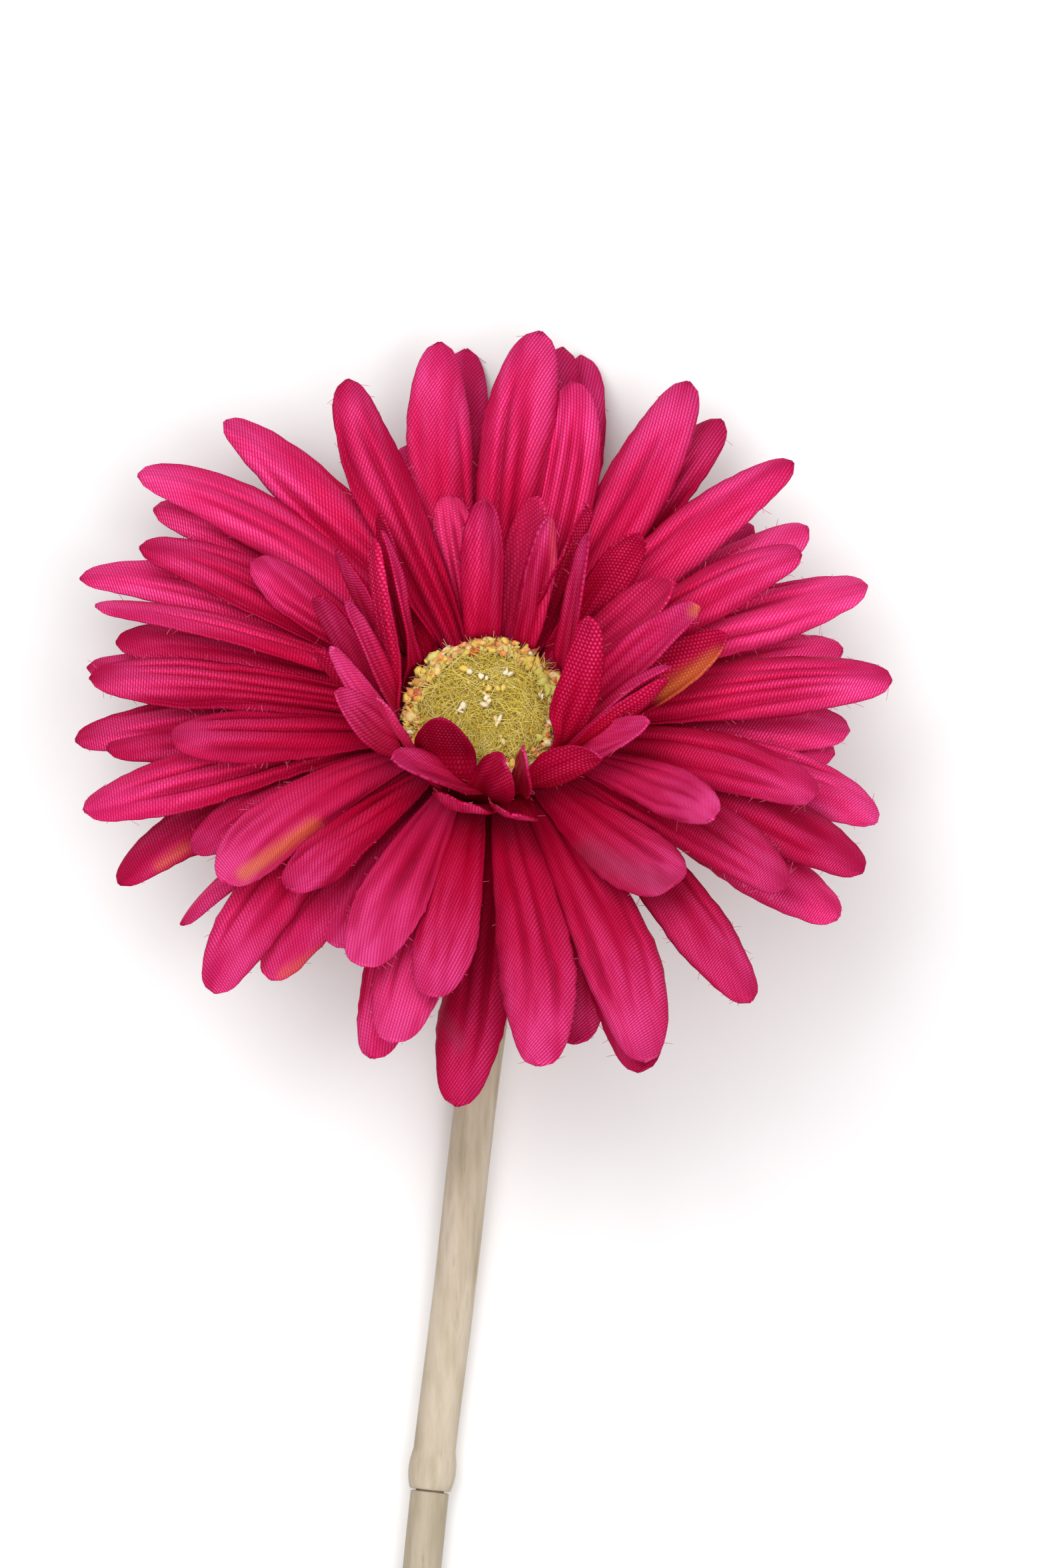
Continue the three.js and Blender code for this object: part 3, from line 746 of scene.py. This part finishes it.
def humps(share):
    """0 at both ends of each unit and 1 in its middle."""
    return share * (1 - share) * 4


def satin(name, right_side):
    """Dyed satin with painted shade and highlights, by its flat cut in mm and its place on the
    petal from 0 to 1.
    """
    f = Finish(name)
    cut = f.map("cut")
    own = f.map("petal")
    over = f.axis(cut, "X")
    length = f.axis(cut, "Y")
    along = f.axis(own, "X")
    across = f.axis(own, "Y")
    tone = f.attribute("tone")
    crease = f.attribute("crease")
    stain = f.attribute("stain")
    clouds = f.noise(f.scaled(cut, (0.16, 0.16, 0.16)), 1.0, 3.0)
    way = f.scaled(f.vector_sum("NORMALIZE", cut), (STREAK_CLOSENESS,) * 3)
    away = f.vector_sum("LENGTH", cut, output="Value")
    out = f.add("ShaderNodeCombineXYZ", {}, {"Z": away * STREAK_STEP})
    streaks = f.noise(f.vector_sum("ADD", way, out), 1.0, 2.0).stepped(0.32, 0.68)
    if right_side:
        row = (over * math.cos(FLOAT_LEAN) - length * math.sin(FLOAT_LEAN)) / FLOAT_PITCH
        step = (over * math.sin(FLOAT_LEAN) + length * math.cos(FLOAT_LEAN)) / FLOAT_LENGTH
        ends = humps((step + row.whole() * FLOAT_SHIFT).part())
        thread = humps(row.part()).stepped(0.1, 1.0) * (0.5 + ends.stepped(0.05, 0.75) * 0.5)
        stops, lightest = RIGHT_DYES_AND_ROOT_SHADE, 0.58
        # Pale dye with painted sheen for lighter petals, then the painted highlight colour of the
        # floats
        pale_dye_and_sheen, highlight_colour = srgb_colour(234, 44, 114), srgb_colour(250, 98, 176)
    else:
        row = over / DOT_ACROSS
        step = length / DOT_ALONG
        ends = humps((step + row.whole() * DOT_SHIFT).part())
        thread = humps(row.part()).stepped(0.35, 0.95) * ends.stepped(0.45, 0.95)
        stops, lightest = BACK_DYES_AND_ROOT_SHADE, 0.62
        # Pale dye with painted sheen for lighter petals, then the painted highlight colour of the
        # dots
        pale_dye_and_sheen, highlight_colour = srgb_colour(232, 46, 110), srgb_colour(252, 88, 152)
    # Darker towards the root, partly dye and partly painted shade round the cup, then darker or
    # paler by the petal's tone, which holds painted shade and sheen as well as dye
    darkness = tone * -1
    cloth = f.ramp(along + (clouds - 0.5) * 0.4, stops)
    cloth = f.mix(darkness.stepped(0, 1) * 0.55, cloth, srgb_colour(160, 0, 38))
    cloth = f.mix(darkness.stepped(1, 2) * 0.7, cloth, srgb_colour(104, 0, 14))
    pale = tone.stepped(0, 2) * (0.45 + along.stepped(0.3, 0.7) * 0.4)
    cloth = f.mix(pale, cloth, pale_dye_and_sheen)
    # Painted shade between the streaks of light and in the ribs' grooves
    cloth = f.mix((1 - streaks) * 0.24, cloth, srgb_colour(150, 0, 34))
    cloth = f.mix(crease.stepped(0.1, 1.0) * 0.55, cloth, srgb_colour(138, 0, 32))
    # Painted highlight where the threads' tops catch the light, most of all in a streak and towards
    # the tip
    crown = 1 - crease.stepped(0.0, 0.5) * 0.55
    bright = thread * crown * (0.45 + streaks * 0.85) * (0.12 + along.stepped(0.2, 1.0) * 0.88)
    bright = bright * (1 + tone.stepped(0, 2) * 0.25 - darkness.stepped(0, 1.6) * 0.6)
    # Orange stains tint the threads too, and grey ones lie over all
    stained = stain.stepped(0.0, 1.2)
    thread_highlight = f.mix(stained * 0.9, highlight_colour, srgb_colour(248, 186, 92))
    cloth = f.mix(stained * 0.75, cloth, srgb_colour(230, 116, 58))
    cloth = f.mix(bright * lightest, cloth, thread_highlight)
    cloth = f.mix((stain * -1).stepped(0.05, 1.0) * 0.45, cloth, srgb_colour(146, 66, 96))
    # Painted shade along the edges and at the tip, more on darker petals
    edge = (across - 0.5) * (across - 0.5) * 4
    painted_rim_shade = edge.stepped(0.45, 1.0).most(along.stepped(0.84, 1.0))
    cloth = f.mix(painted_rim_shade * (0.22 + darkness.stepped(-0.4, 0.8) * 0.34), cloth, srgb_colour(160, 4, 50))
    dents = f.noise(f.scaled(own, (6, 3, 1)), 1.0, 3.0)
    dent = f.bump(dents, 0.3, 0.0008)
    return f.finish(
        Base_Color=cloth,
        Roughness=0.5 - thread * 0.12,
        Metallic=0.22,
        Normal=f.bump(thread, 0.6, 0.00007, dent),
        Specular_IOR_Level=0.06,
        Specular_Tint=srgb_colour(255, 140, 200),
    )


def plain_thread():
    f = Finish("petal_thread")
    stops = [(0, 176, 10, 58), (0.7, 220, 50, 110), (1, 234, 100, 148)]
    colour = f.ramp(f.attribute("tone"), stops)
    return f.finish(Base_Color=colour, Roughness=0.6, Sheen_Weight=0.3)


FELT_STOPS = [(0, 142, 116, 26), (0.5, 168, 142, 40), (1, 196, 170, 64)]
FIBRE_STOPS = [(0.05, 164, 140, 30), (0.35, 232, 206, 60), (0.65, 250, 224, 96), (1, 255, 250, 180)]


def flock(name, stops):
    f = Finish(name)
    tone = f.attribute("tone")
    place = f.place()
    clouds = f.noise(place, 260.0, 3.0)
    colour = f.ramp(tone * 0.75 + clouds * 0.3, stops)
    return f.finish(
        Base_Color=colour,
        Roughness=0.62 + clouds * 0.2,
        Normal=f.bump(f.noise(place, 3000.0), 0.3, 0.0002),
        Sheen_Weight=0.25,
        Sheen_Roughness=0.5,
        Specular_IOR_Level=0.4,
    )


def crumb_finish():
    f = Finish("glued_crumbs")
    stops = [
        (0.0, 232, 200, 84),
        (0.26, 236, 206, 136),
        (0.38, 236, 152, 84),
        (0.54, 200, 84, 44),
        (0.6, 206, 202, 96),
        (0.78, 242, 232, 204),
        (0.88, 238, 186, 62),
    ]
    colour = f.ramp(f.attribute("tone"), stops, "CONSTANT")
    mottle = f.noise(f.place(), 1400.0, 3.0)
    colour = f.mix(mottle.stepped(0.35, 0.8) * 0.4, colour, srgb_colour(250, 236, 190))
    return f.finish(
        Base_Color=colour,
        Roughness=0.75 + mottle * 0.2,
        Normal=f.bump(mottle, 0.6, 0.0003),
        Specular_IOR_Level=0.3,
    )


def stem_finish(name, pale, palest):
    """Soft beige plastic, mottled lengthwise, with the colours of its main and its palest spots."""
    f = Finish(name)
    place = f.place()
    long_spots = f.noise(f.scaled(place, (420, 60, 420)), 1.0, 4.0, 0.6)
    brown = f.noise(f.scaled(place, (700, 110, 700)), 1.0, 3.0, 0.65)
    fine = f.noise(place, 5200.0, 2.0)
    stops = [(0.25, 160, 148, 124), (0.45, *pale), (0.62, *palest), (0.8, 172, 164, 140)]
    colour = f.ramp(long_spots, stops)
    colour = f.mix(brown.stepped(0.6, 0.78) * 0.5, colour, srgb_colour(140, 112, 84))
    return f.finish(
        Base_Color=colour,
        Roughness=0.5 + long_spots * 0.25,
        Normal=f.bump(fine * 0.4 + long_spots, 0.3, 0.0003),
        Specular_IOR_Level=0.4,
    )


def calyx_finish():
    f = Finish("calyx_plastic")
    place = f.place()
    clouds = f.noise(place, 240.0, 4.0)
    fine = f.noise(place, 4200.0)
    stops = [(0.3, 118, 128, 84), (0.55, 150, 156, 108), (0.8, 178, 176, 134)]
    return f.finish(
        Base_Color=f.ramp(clouds, stops),
        Roughness=0.5 + clouds * 0.2,
        Normal=f.bump(fine + clouds, 0.25, 0.0003),
        Specular_IOR_Level=0.4,
    )


def steel_finish():
    f = Finish("stem_wire_steel")
    drawn = f.noise(f.scaled(f.place(), (6000, 120, 6000)), 1.0, 2.0)
    return f.finish(
        Base_Color=f.ramp(drawn, [(0.3, 120, 118, 112), (0.7, 168, 166, 160)]),
        Metallic=0.9,
        Roughness=0.3 + drawn * 0.25,
        Normal=f.bump(drawn, 0.2, 0.0001),
    )


satin_right = satin("petal_satin", True)
satin_back = satin("petal_satin_back", False)

all_petals = []


def build_outer_discs():
    for index, disc in enumerate(OUTER_DISCS):
        draw = random.Random(100 + index)
        mesh, layers = fabric_mesh()
        add_disc_ring(mesh, index * DISC_PITCH, layers)
        form = {**OUTER_FORM, "rise": disc["rise"]}
        for row in disc["petals"]:
            petal = Petal(row, index * DISC_PITCH, form, SAG, draw.uniform(0, 50))
            add_petal(mesh, petal, disc["stains"], layers)
            all_petals.append(petal)
        piece = fabric_object(mesh, disc["node"] + "_fabric")
        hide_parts(disc["node"])
        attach(piece, "root")


def build_inner_cup():
    for index, disc in enumerate(INNER_DISCS):
        draw = random.Random(200 + index)
        mesh, layers = fabric_mesh()
        level = CUP_LEVEL + index * DISC_PITCH
        add_disc_ring(mesh, level, layers, disc["turned"])
        for place, row in enumerate(disc["petals"]):
            form = {**INNER_FORM, **disc, "keep": disc["keep"] + 0.3 * (place % 3)}
            petal = Petal(row, level, form, 0, draw.uniform(0, 50))
            add_petal(mesh, petal, disc["stains"], layers)
            all_petals.append(petal)
        name = "petals_inner_cup_lower" if index == 0 else "petals_inner_cup_upper"
        piece = fabric_object(mesh, name)
        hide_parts("petals_inner_cup")
        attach(piece, "root")


def spun(mesh, outline, steps):
    """A closed shape turned about the head's axis, from an outline that starts and ends on it."""
    turned_round(mesh, outline, steps)
    bmesh.ops.remove_doubles(mesh, verts=mesh.verts, dist=0.001)
    bmesh.ops.recalc_face_normals(mesh, faces=mesh.faces)


def dome_height(share):
    rise = (BUTTON_CROWN - BUTTON_SIDE) * math.sqrt(max(0, 1 - share**2))
    return BUTTON_BASE + BUTTON_SIDE + rise


def add_hair(mesh, tone, place, length, radii, middle, shade):
    """A thin three-sided cone along a place's Z, whose middle is a share of its length up it."""
    made = bmesh.ops.create_cone(
        mesh,
        cap_ends=True,
        segments=3,
        radius1=radii[0],
        radius2=radii[1],
        depth=length,
        matrix=place @ Matrix.Translation((0, 0, length * middle)),
    )["verts"]
    for vert in made:
        vert[tone] = shade
    put_on_head(made)
    return made


def dome_normal(share, angle):
    flat = (BUTTON_CROWN - BUTTON_SIDE) / BUTTON_RADIUS
    slope = share * flat / math.sqrt(max(0.04, 1 - share**2))
    return around(slope, angle, 1).normalized()


def build_button():
    draw = random.Random(11)
    mesh, _ = toned_mesh()
    outline = [
        (0, BUTTON_BASE),
        (FELT_RADIUS, BUTTON_BASE),
        (BUTTON_RADIUS - 0.1, BUTTON_BASE + 0.8),
    ]
    for step in range(DOME_STEPS + 1):
        share = math.cos(step / DOME_STEPS * math.pi / 2)
        outline.append((FELT_RADIUS * share, dome_height(share) - FELT_SUNK))
    outline[-1] = (0, outline[-1][1])
    spun(mesh, outline, BUTTON_SIDES)
    put_on_head(mesh.verts)
    dome = finished_object(mesh, "button_dome", [flock("button_felt", FELT_STOPS)])
    mesh, tone = toned_mesh()
    for _ in range(FIBRE_COUNT):
        share = math.sqrt(draw.random())
        angle = draw.uniform(0, 2 * math.pi)
        foot = around(FELT_RADIUS * share, angle, dome_height(share) - FIBRE_SUNK)
        lean = rad(draw.triangular(*FIBRE_LEANS))
        turn = draw.uniform(0, 2 * math.pi)
        tilt = Matrix.Rotation(turn, 4, "Z") @ Matrix.Rotation(lean, 4, "Y")
        aim = turn_to(dome_normal(share, angle)).to_4x4()
        place = Matrix.Translation(foot) @ aim @ tilt
        length = draw.uniform(*FIBRE_LENGTHS)
        thick = draw.uniform(*FIBRE_RADII)
        add_hair(mesh, tone, place, length, (thick, thick * 0.6), 0.42, draw.random())
    tufts = finished_object(mesh, "button_flock", [flock("button_fibres", FIBRE_STOPS)])
    for piece in (dome, tufts):
        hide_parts("button")
        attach(piece, "root")


# The pale flakes on the dome, as (right, beyond) from the hub
FLAKE_SPOTS = [
    (-3, 8.9), (-0.6, 8), (-0.5, 6.9), (-0.6, 5.8), (1.6, 6.6), (2.6, 9),
    (7, 6.3), (-0.4, 4.3), (-3.7, 4), (2, 0.3), (7.3, 0.4), (1, 2.4),
]


def add_crumb(mesh, tone, draw, spot, size, hue):
    """A lump with a shape of its own, at a spot in the head's frame."""
    stretch = Matrix.Diagonal((*(draw.uniform(*limits) for limits in CRUMB_STRETCH), 1))
    turn = Matrix.Rotation(draw.uniform(0, 6.3), 4, "Z")
    turn = turn @ Matrix.Rotation(draw.uniform(0, 3.1), 4, "X")
    place = Matrix.Translation(spot) @ turn @ stretch
    made = bmesh.ops.create_icosphere(mesh, subdivisions=1, radius=size, matrix=place)["verts"]
    for vert in made:
        vert[tone] = hue
        vert.co += (vert.co - spot) * (0.9 * noise.noise(vert.co * 1.9))
    put_on_head(made)


def build_crumbs():
    """Crumbs lie thinner on the near side, and more of them are orange on the left."""
    draw = random.Random(5)
    mesh, tone = toned_mesh()
    for _ in range(CRUMB_COUNT):
        angle = draw.uniform(0, 2 * math.pi)
        if math.sin(angle - rad(200)) > 0.35 and draw.random() < 0.45:
            angle += math.pi
        radius = CRUMB_RING_RADIUS + draw.triangular(-2.1, 0.8, 0)
        if radius < BUTTON_RADIUS:
            high = dome_height(radius / BUTTON_RADIUS) + 0.6
            height = draw.uniform(high - 0.6, high)
        else:
            height = draw.uniform(BUTTON_BASE + 0.6, BUTTON_BASE + 2.5)
        spot = around(radius, angle, height)
        warm = 0.5 - 0.5 * math.cos(angle - rad(20))
        hue = draw.uniform(0.2, 0.6) if draw.random() < 0.6 * warm else draw.random()
        add_crumb(mesh, tone, draw, spot, draw.triangular(*CRUMB_SIZES), hue)
    for right, beyond in FLAKE_SPOTS:
        spot = tip_place(right, beyond, BUTTON_BASE + BUTTON_CROWN)
        spot.z = dome_height(min(0.97, spot.xy.length / BUTTON_RADIUS)) + 0.75
        for _ in range(FLAKES_AT_A_SPOT):
            near = spot + Vector((draw.uniform(-0.5, 0.5), draw.uniform(-0.6, 0.6), 0))
            size, hue = draw.uniform(*FLAKE_SIZES), draw.choice(FLAKE_HUES)
            add_crumb(mesh, tone, draw, near, size, hue)
    for _ in range(SMALL_CRUMB_COUNT):
        share = math.sqrt(draw.random()) * 0.85
        angle = draw.uniform(0, 2 * math.pi)
        spot = around(BUTTON_RADIUS * share, angle, dome_height(share) + 0.4)
        size, hue = draw.uniform(*SMALL_CRUMB_SIZES), draw.choice(SMALL_CRUMB_HUES)
        add_crumb(mesh, tone, draw, spot, size, hue)
    piece = finished_object(mesh, "button_crumb_ring", [crumb_finish()])
    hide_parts("button_crumbs")
    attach(piece, "root")


def along_axis(height):
    return HEAD_AXIS * height + Vector((0, 0, HUB_HEIGHT))


class StemLine:
    """A smooth line through the stem's route, walked by its length in mm."""

    STEPS = 60

    def __init__(self, points):
        first = points[0] * 2 - points[1]
        last = points[-1] * 2 - points[-2]
        padded = [first, *points, last]
        self.spots = []
        for a, b, c, d in zip(padded, padded[1:], padded[2:], padded[3:]):
            self.spots += [self.between(a, b, c, d, i / self.STEPS) for i in range(self.STEPS)]
        self.spots.append(points[-1])
        self.reach = [0.0]
        for a, b in zip(self.spots, self.spots[1:]):
            self.reach.append(self.reach[-1] + (b - a).length)
        self.length = self.reach[-1]

    @staticmethod
    def between(a, b, c, d, t):
        before = math.sqrt((b - a).length)
        here = math.sqrt((c - b).length)
        after = math.sqrt((d - c).length)
        leave = ((b - a) / before - (c - a) / (before + here) + (c - b) / here) * here
        arrive = ((c - b) / here - (d - b) / (here + after) + (d - c) / after) * here
        square, cube = t * t, t * t * t
        return (
            b * (2 * cube - 3 * square + 1)
            + leave * (cube - 2 * square + t)
            + c * (3 * square - 2 * cube)
            + arrive * (cube - square)
        )

    def at(self, distance):
        high = min(max(1, bisect.bisect_right(self.reach, distance)), len(self.reach) - 1)
        low = high - 1
        share = (distance - self.reach[low]) / (self.reach[high] - self.reach[low])
        return self.spots[low].lerp(self.spots[high], share)

    def heading(self, distance):
        low = max(0, distance - 0.5)
        high = min(self.length, distance + 0.5)
        return (self.at(high) - self.at(low)).normalized()


def swept(mesh, line, stations, sides):
    """A tube along the line through (distance, radius) stations, closed at both ends."""
    facing = turn_to(line.heading(stations[0][0]))
    previous = None
    ring = None
    for distance, radius in stations:
        heading = line.heading(distance)
        facing = (facing @ Vector((0, 0, 1))).rotation_difference(heading).to_matrix() @ facing
        place = (
            Matrix.Translation(line.at(distance) + Vector((HUB.x, HUB.y, 0)))
            @ facing.to_4x4()
            @ Matrix.Scale(radius, 4)
        )
        if ring is None:
            made = bmesh.ops.create_circle(
                mesh, cap_ends=True, segments=sides, radius=1, matrix=place
            )["verts"]
            ring = list({edge for vert in made for edge in vert.link_edges})
        else:
            grown = bmesh.ops.extrude_edge_only(mesh, edges=ring)["geom"]
            verts = [item for item in grown if isinstance(item, bmesh.types.BMVert)]
            ring = [item for item in grown if isinstance(item, bmesh.types.BMEdge)]
            bmesh.ops.transform(mesh, matrix=place @ previous.inverted(), verts=verts)
        previous = place
    bmesh.ops.holes_fill(mesh, edges=ring, sides=0)
    bmesh.ops.recalc_face_normals(mesh, faces=mesh.faces)
    bmesh.ops.scale(mesh, vec=(MM, MM, MM), verts=mesh.verts)


def build_stem():
    line = StemLine(
        [
            along_axis(CALYX_FOOT + SOCKET_DEPTH - JOINT_GAP),
            along_axis(CALYX_FOOT),
            along_axis(CALYX_FOOT - 3),
            *[Vector(point) for point in STEM_ROUTE],
        ]
    )
    knuckle = 0
    while line.at(knuckle).y > KNUCKLE_BEYOND:
        knuckle += 0.1
    start = knuckle - KNUCKLE_LENGTH
    stations = [
        (i * (start - 1) / STEM_STATIONS, STEM_RADIUS) for i in range(STEM_STATIONS + 1)
    ]
    stations += [(start + share * KNUCKLE_LENGTH, radius) for share, radius in KNUCKLE_BEAD]
    stations += [(knuckle, RECESS_RADIUS), (knuckle - RECESS_DEPTH, RECESS_RADIUS)]
    mesh = bmesh.new()
    swept(mesh, line, stations, STEM_SIDES)
    roughen_stem(mesh, 0.05)
    plastic = stem_finish("stem_plastic", (190, 175, 151), (206, 192, 171))
    upper = finished_object(mesh, "stem_upper_moulding", [plastic])
    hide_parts("stem_upper")
    end = line.length - 0.02
    stations = [
        (knuckle - SPIGOT_LENGTH, SPIGOT_RADIUS),
        (knuckle + JOINT_GAP, SPIGOT_RADIUS),
        (knuckle + JOINT_GAP, TAIL_RADIUS - 0.1),
    ]
    start, run = knuckle + 0.45, end - knuckle - 0.75
    stations += [(start + i * run / TAIL_STATIONS, TAIL_RADIUS) for i in range(TAIL_STATIONS + 1)]
    stations += [(end, TAIL_RADIUS - 0.15), (end, WIRE_BORE), (end - BORE_DEPTH, WIRE_BORE)]
    mesh = bmesh.new()
    swept(mesh, line, stations, STEM_SIDES)
    roughen_stem(mesh, 0.04)
    plastic = stem_finish("stem_tail_plastic", (172, 158, 134), (187, 174, 152))
    tail = finished_object(mesh, "stem_tail_moulding", [plastic])
    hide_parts("stem_tail")
    for piece in (upper, tail):
        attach(piece, "root")
    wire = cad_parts["stem_wire"]
    wire.data.materials.clear()
    wire.data.materials.append(steel_finish())


def roughen_stem(mesh, depth):
    for vert in mesh.verts:
        spot = vert.co * 120
        spot.y *= 0.35
        vert.co += vert.normal * (depth * MM * noise.noise(spot))
        vert.co.z = max(vert.co.z, 0)


# The calyx with its socket and its peg, as (radius, height) on the head's axis, and its sepals
CALYX_OUTLINE = [
    (0, CALYX_FOOT + SOCKET_DEPTH),
    (3.15, CALYX_FOOT + SOCKET_DEPTH),
    (3.15, CALYX_FOOT + 0.2),
    (3.4, CALYX_FOOT),
    (4.1, CALYX_FOOT + 0.1),
    (4.5, CALYX_FOOT + 0.5),
    (4.7, CALYX_FOOT + 1.4),
    (5.0, CALYX_FOOT + 2.6),
    (5.6, CALYX_FOOT + 4),
    (6.5, CALYX_FOOT + 5.6),
    (7.4, CALYX_FOOT + 7.2),
    (7.9, -2.2),
    (7.95, -1.1),
    (7.6, -0.7),
    (2, -0.65),
    (2, BUTTON_BASE + 2.2),
    (1.7, BUTTON_BASE + 2.4),
    (0, BUTTON_BASE + 2.4),
]
SEPAL_COUNT = 9
SEPAL_LINE = ((4.6, -8), (9.5, -7.2), (12.5, -4.8))
SEPAL_HALF_WIDTH = 1.9
SEPAL_WALL = 0.6


def sepal_place(heading, across, along):
    rest = 1 - along
    radius, height = (
        start * rest * rest + 2 * bend * rest * along + tip * along * along
        for start, bend, tip in zip(*SEPAL_LINE)
    )
    half = SEPAL_HALF_WIDTH * petal_outline(along, 0.5)
    height += 0.12 * half * across * across
    side = across * half
    return Vector(
        (
            radius * math.cos(heading) - side * math.sin(heading),
            radius * math.sin(heading) + side * math.cos(heading),
            height,
        )
    )


def build_calyx():
    mesh = bmesh.new()
    spun(mesh, CALYX_OUTLINE, BUTTON_SIDES)
    put_on_head(mesh.verts)
    plastic = calyx_finish()
    cup = finished_object(mesh, "calyx_cup", [plastic])
    mesh = bmesh.new()
    for place in range(SEPAL_COUNT):
        heading = place * 2 * math.pi / SEPAL_COUNT
        made = bmesh.ops.create_grid(mesh, x_segments=6, y_segments=12, size=1)["verts"]
        for vert in made:
            vert.co = from_head(sepal_place(heading, -vert.co.x, (vert.co.y + 1) / 2))
    sepals = finished_object(mesh, "calyx_sepals", [plastic])
    wall = sepals.modifiers.new("leaf", "SOLIDIFY")
    wall.thickness = SEPAL_WALL * MM
    wall.offset = 0
    for piece in (cup, sepals):
        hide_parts("calyx")
        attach(piece, "root")


THREAD_ROOT = 0.985
THREAD_RADII = (0.045, 0.03)
THREAD_LENGTHS = (0.25, 2, 0.5)


def build_frayed_threads():
    """Loose threads along the cut edges of the petals."""
    draw = random.Random(31)
    mesh, tone = toned_mesh()
    for petal in all_petals:
        for _ in range(draw.choice(petal.form["threads"])):
            along = draw.uniform(0.35, 0.99)
            side = draw.choice((-1, 1))
            foot = petal.place(side * THREAD_ROOT, along)
            inner = petal.place(side * 0.8, along)
            back = petal.place(side * THREAD_ROOT, along - 0.03)
            out = (foot - inner).normalized()
            on = (foot - back).normalized()
            aim = (out * draw.uniform(0.3, 1) + on * draw.uniform(-0.9, 0.9)).normalized()
            aim.z += draw.uniform(-0.2, 0.3)
            length = draw.triangular(*THREAD_LENGTHS)
            place = Matrix.Translation(foot) @ turn_to(aim).to_4x4()
            for vert in add_hair(mesh, tone, place, length, THREAD_RADII, 0.4, draw.random()):
                vert.co.z = max(vert.co.z, 0)
    piece = finished_object(mesh, "frayed_threads", [plain_thread()])
    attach(piece, "root")


# The picture's height and scale, and where its centre lies from the hub
FRAME_HEIGHT_PX = 2352
MM_PER_PX = 0.0894
CENTRE_RIGHT = 4.47
CENTRE_BEYOND = -5.9
CENTRE_HEIGHT = 35
CAMERA_AWAY = 6
SENSOR = 36


def build_camera():
    centre = Vector((HUB_RIGHT + CENTRE_RIGHT, HUB_BEYOND + CENTRE_BEYOND, CENTRE_HEIGHT)) * MM
    data = bpy.data.cameras.new("camera")
    data.sensor_width = SENSOR
    data.sensor_fit = "AUTO"
    data.lens = SENSOR * CAMERA_AWAY / (FRAME_HEIGHT_PX * MM_PER_PX * MM)
    data.clip_start = 0.1
    data.clip_end = 20
    camera = bpy.data.objects.new("camera", data)
    camera.location = centre + Vector((0, 0, CAMERA_AWAY))
    bpy.context.scene.collection.objects.link(camera)
    bpy.context.scene.camera = camera


def soft_light(name, place, size, power, aim):
    data = bpy.data.lights.new(name, "AREA")
    data.shape = "DISK"
    data.size = size
    data.energy = power
    lamp = bpy.data.objects.new(name, data)
    lamp.location = place
    lamp.rotation_euler = (Vector(aim) - Vector(place)).to_track_quat("-Z", "Y").to_euler()
    bpy.context.scene.collection.objects.link(lamp)


FLOOR_HEIGHT = -0.0002
WORLD_STRENGTH = 0.28


def build_studio():
    mesh = bmesh.new()
    bmesh.ops.create_grid(mesh, x_segments=1, y_segments=1, size=4)
    f = Finish("pale_floor")
    speck = f.noise(f.place(), 40.0, 3.0)
    shade = f.mix(speck * 0.1, srgb_colour(252, 252, 252), srgb_colour(247, 247, 247))
    pale = f.finish(Base_Color=shade, Roughness=0.7, Specular_IOR_Level=0.2)
    floor = finished_object(mesh, "floor", [pale])
    floor.location.z = FLOOR_HEIGHT
    head = (HUB.x * MM, HUB.y * MM, 0.03)
    soft_light("key", (-0.5, 0.8, 1.5), 1.2, 14, head)
    soft_light("fill", (1.0, -0.5, 1.6), 1.8, 13, head)
    soft_light("overhead", (0.1, 0.1, 2.2), 2.2, 23, head)
    world = bpy.data.worlds.new("studio")
    world.use_nodes = True
    inputs = world.node_tree.nodes["Background"].inputs
    inputs["Color"].default_value = srgb_colour(250, 250, 252)
    inputs["Strength"].default_value = WORLD_STRENGTH
    bpy.context.scene.world = world
    bpy.context.scene.view_settings.view_transform = "Standard"


build_camera()
build_outer_discs()
build_inner_cup()
build_button()
build_crumbs()
build_stem()
build_calyx()
build_frayed_threads()
build_studio()
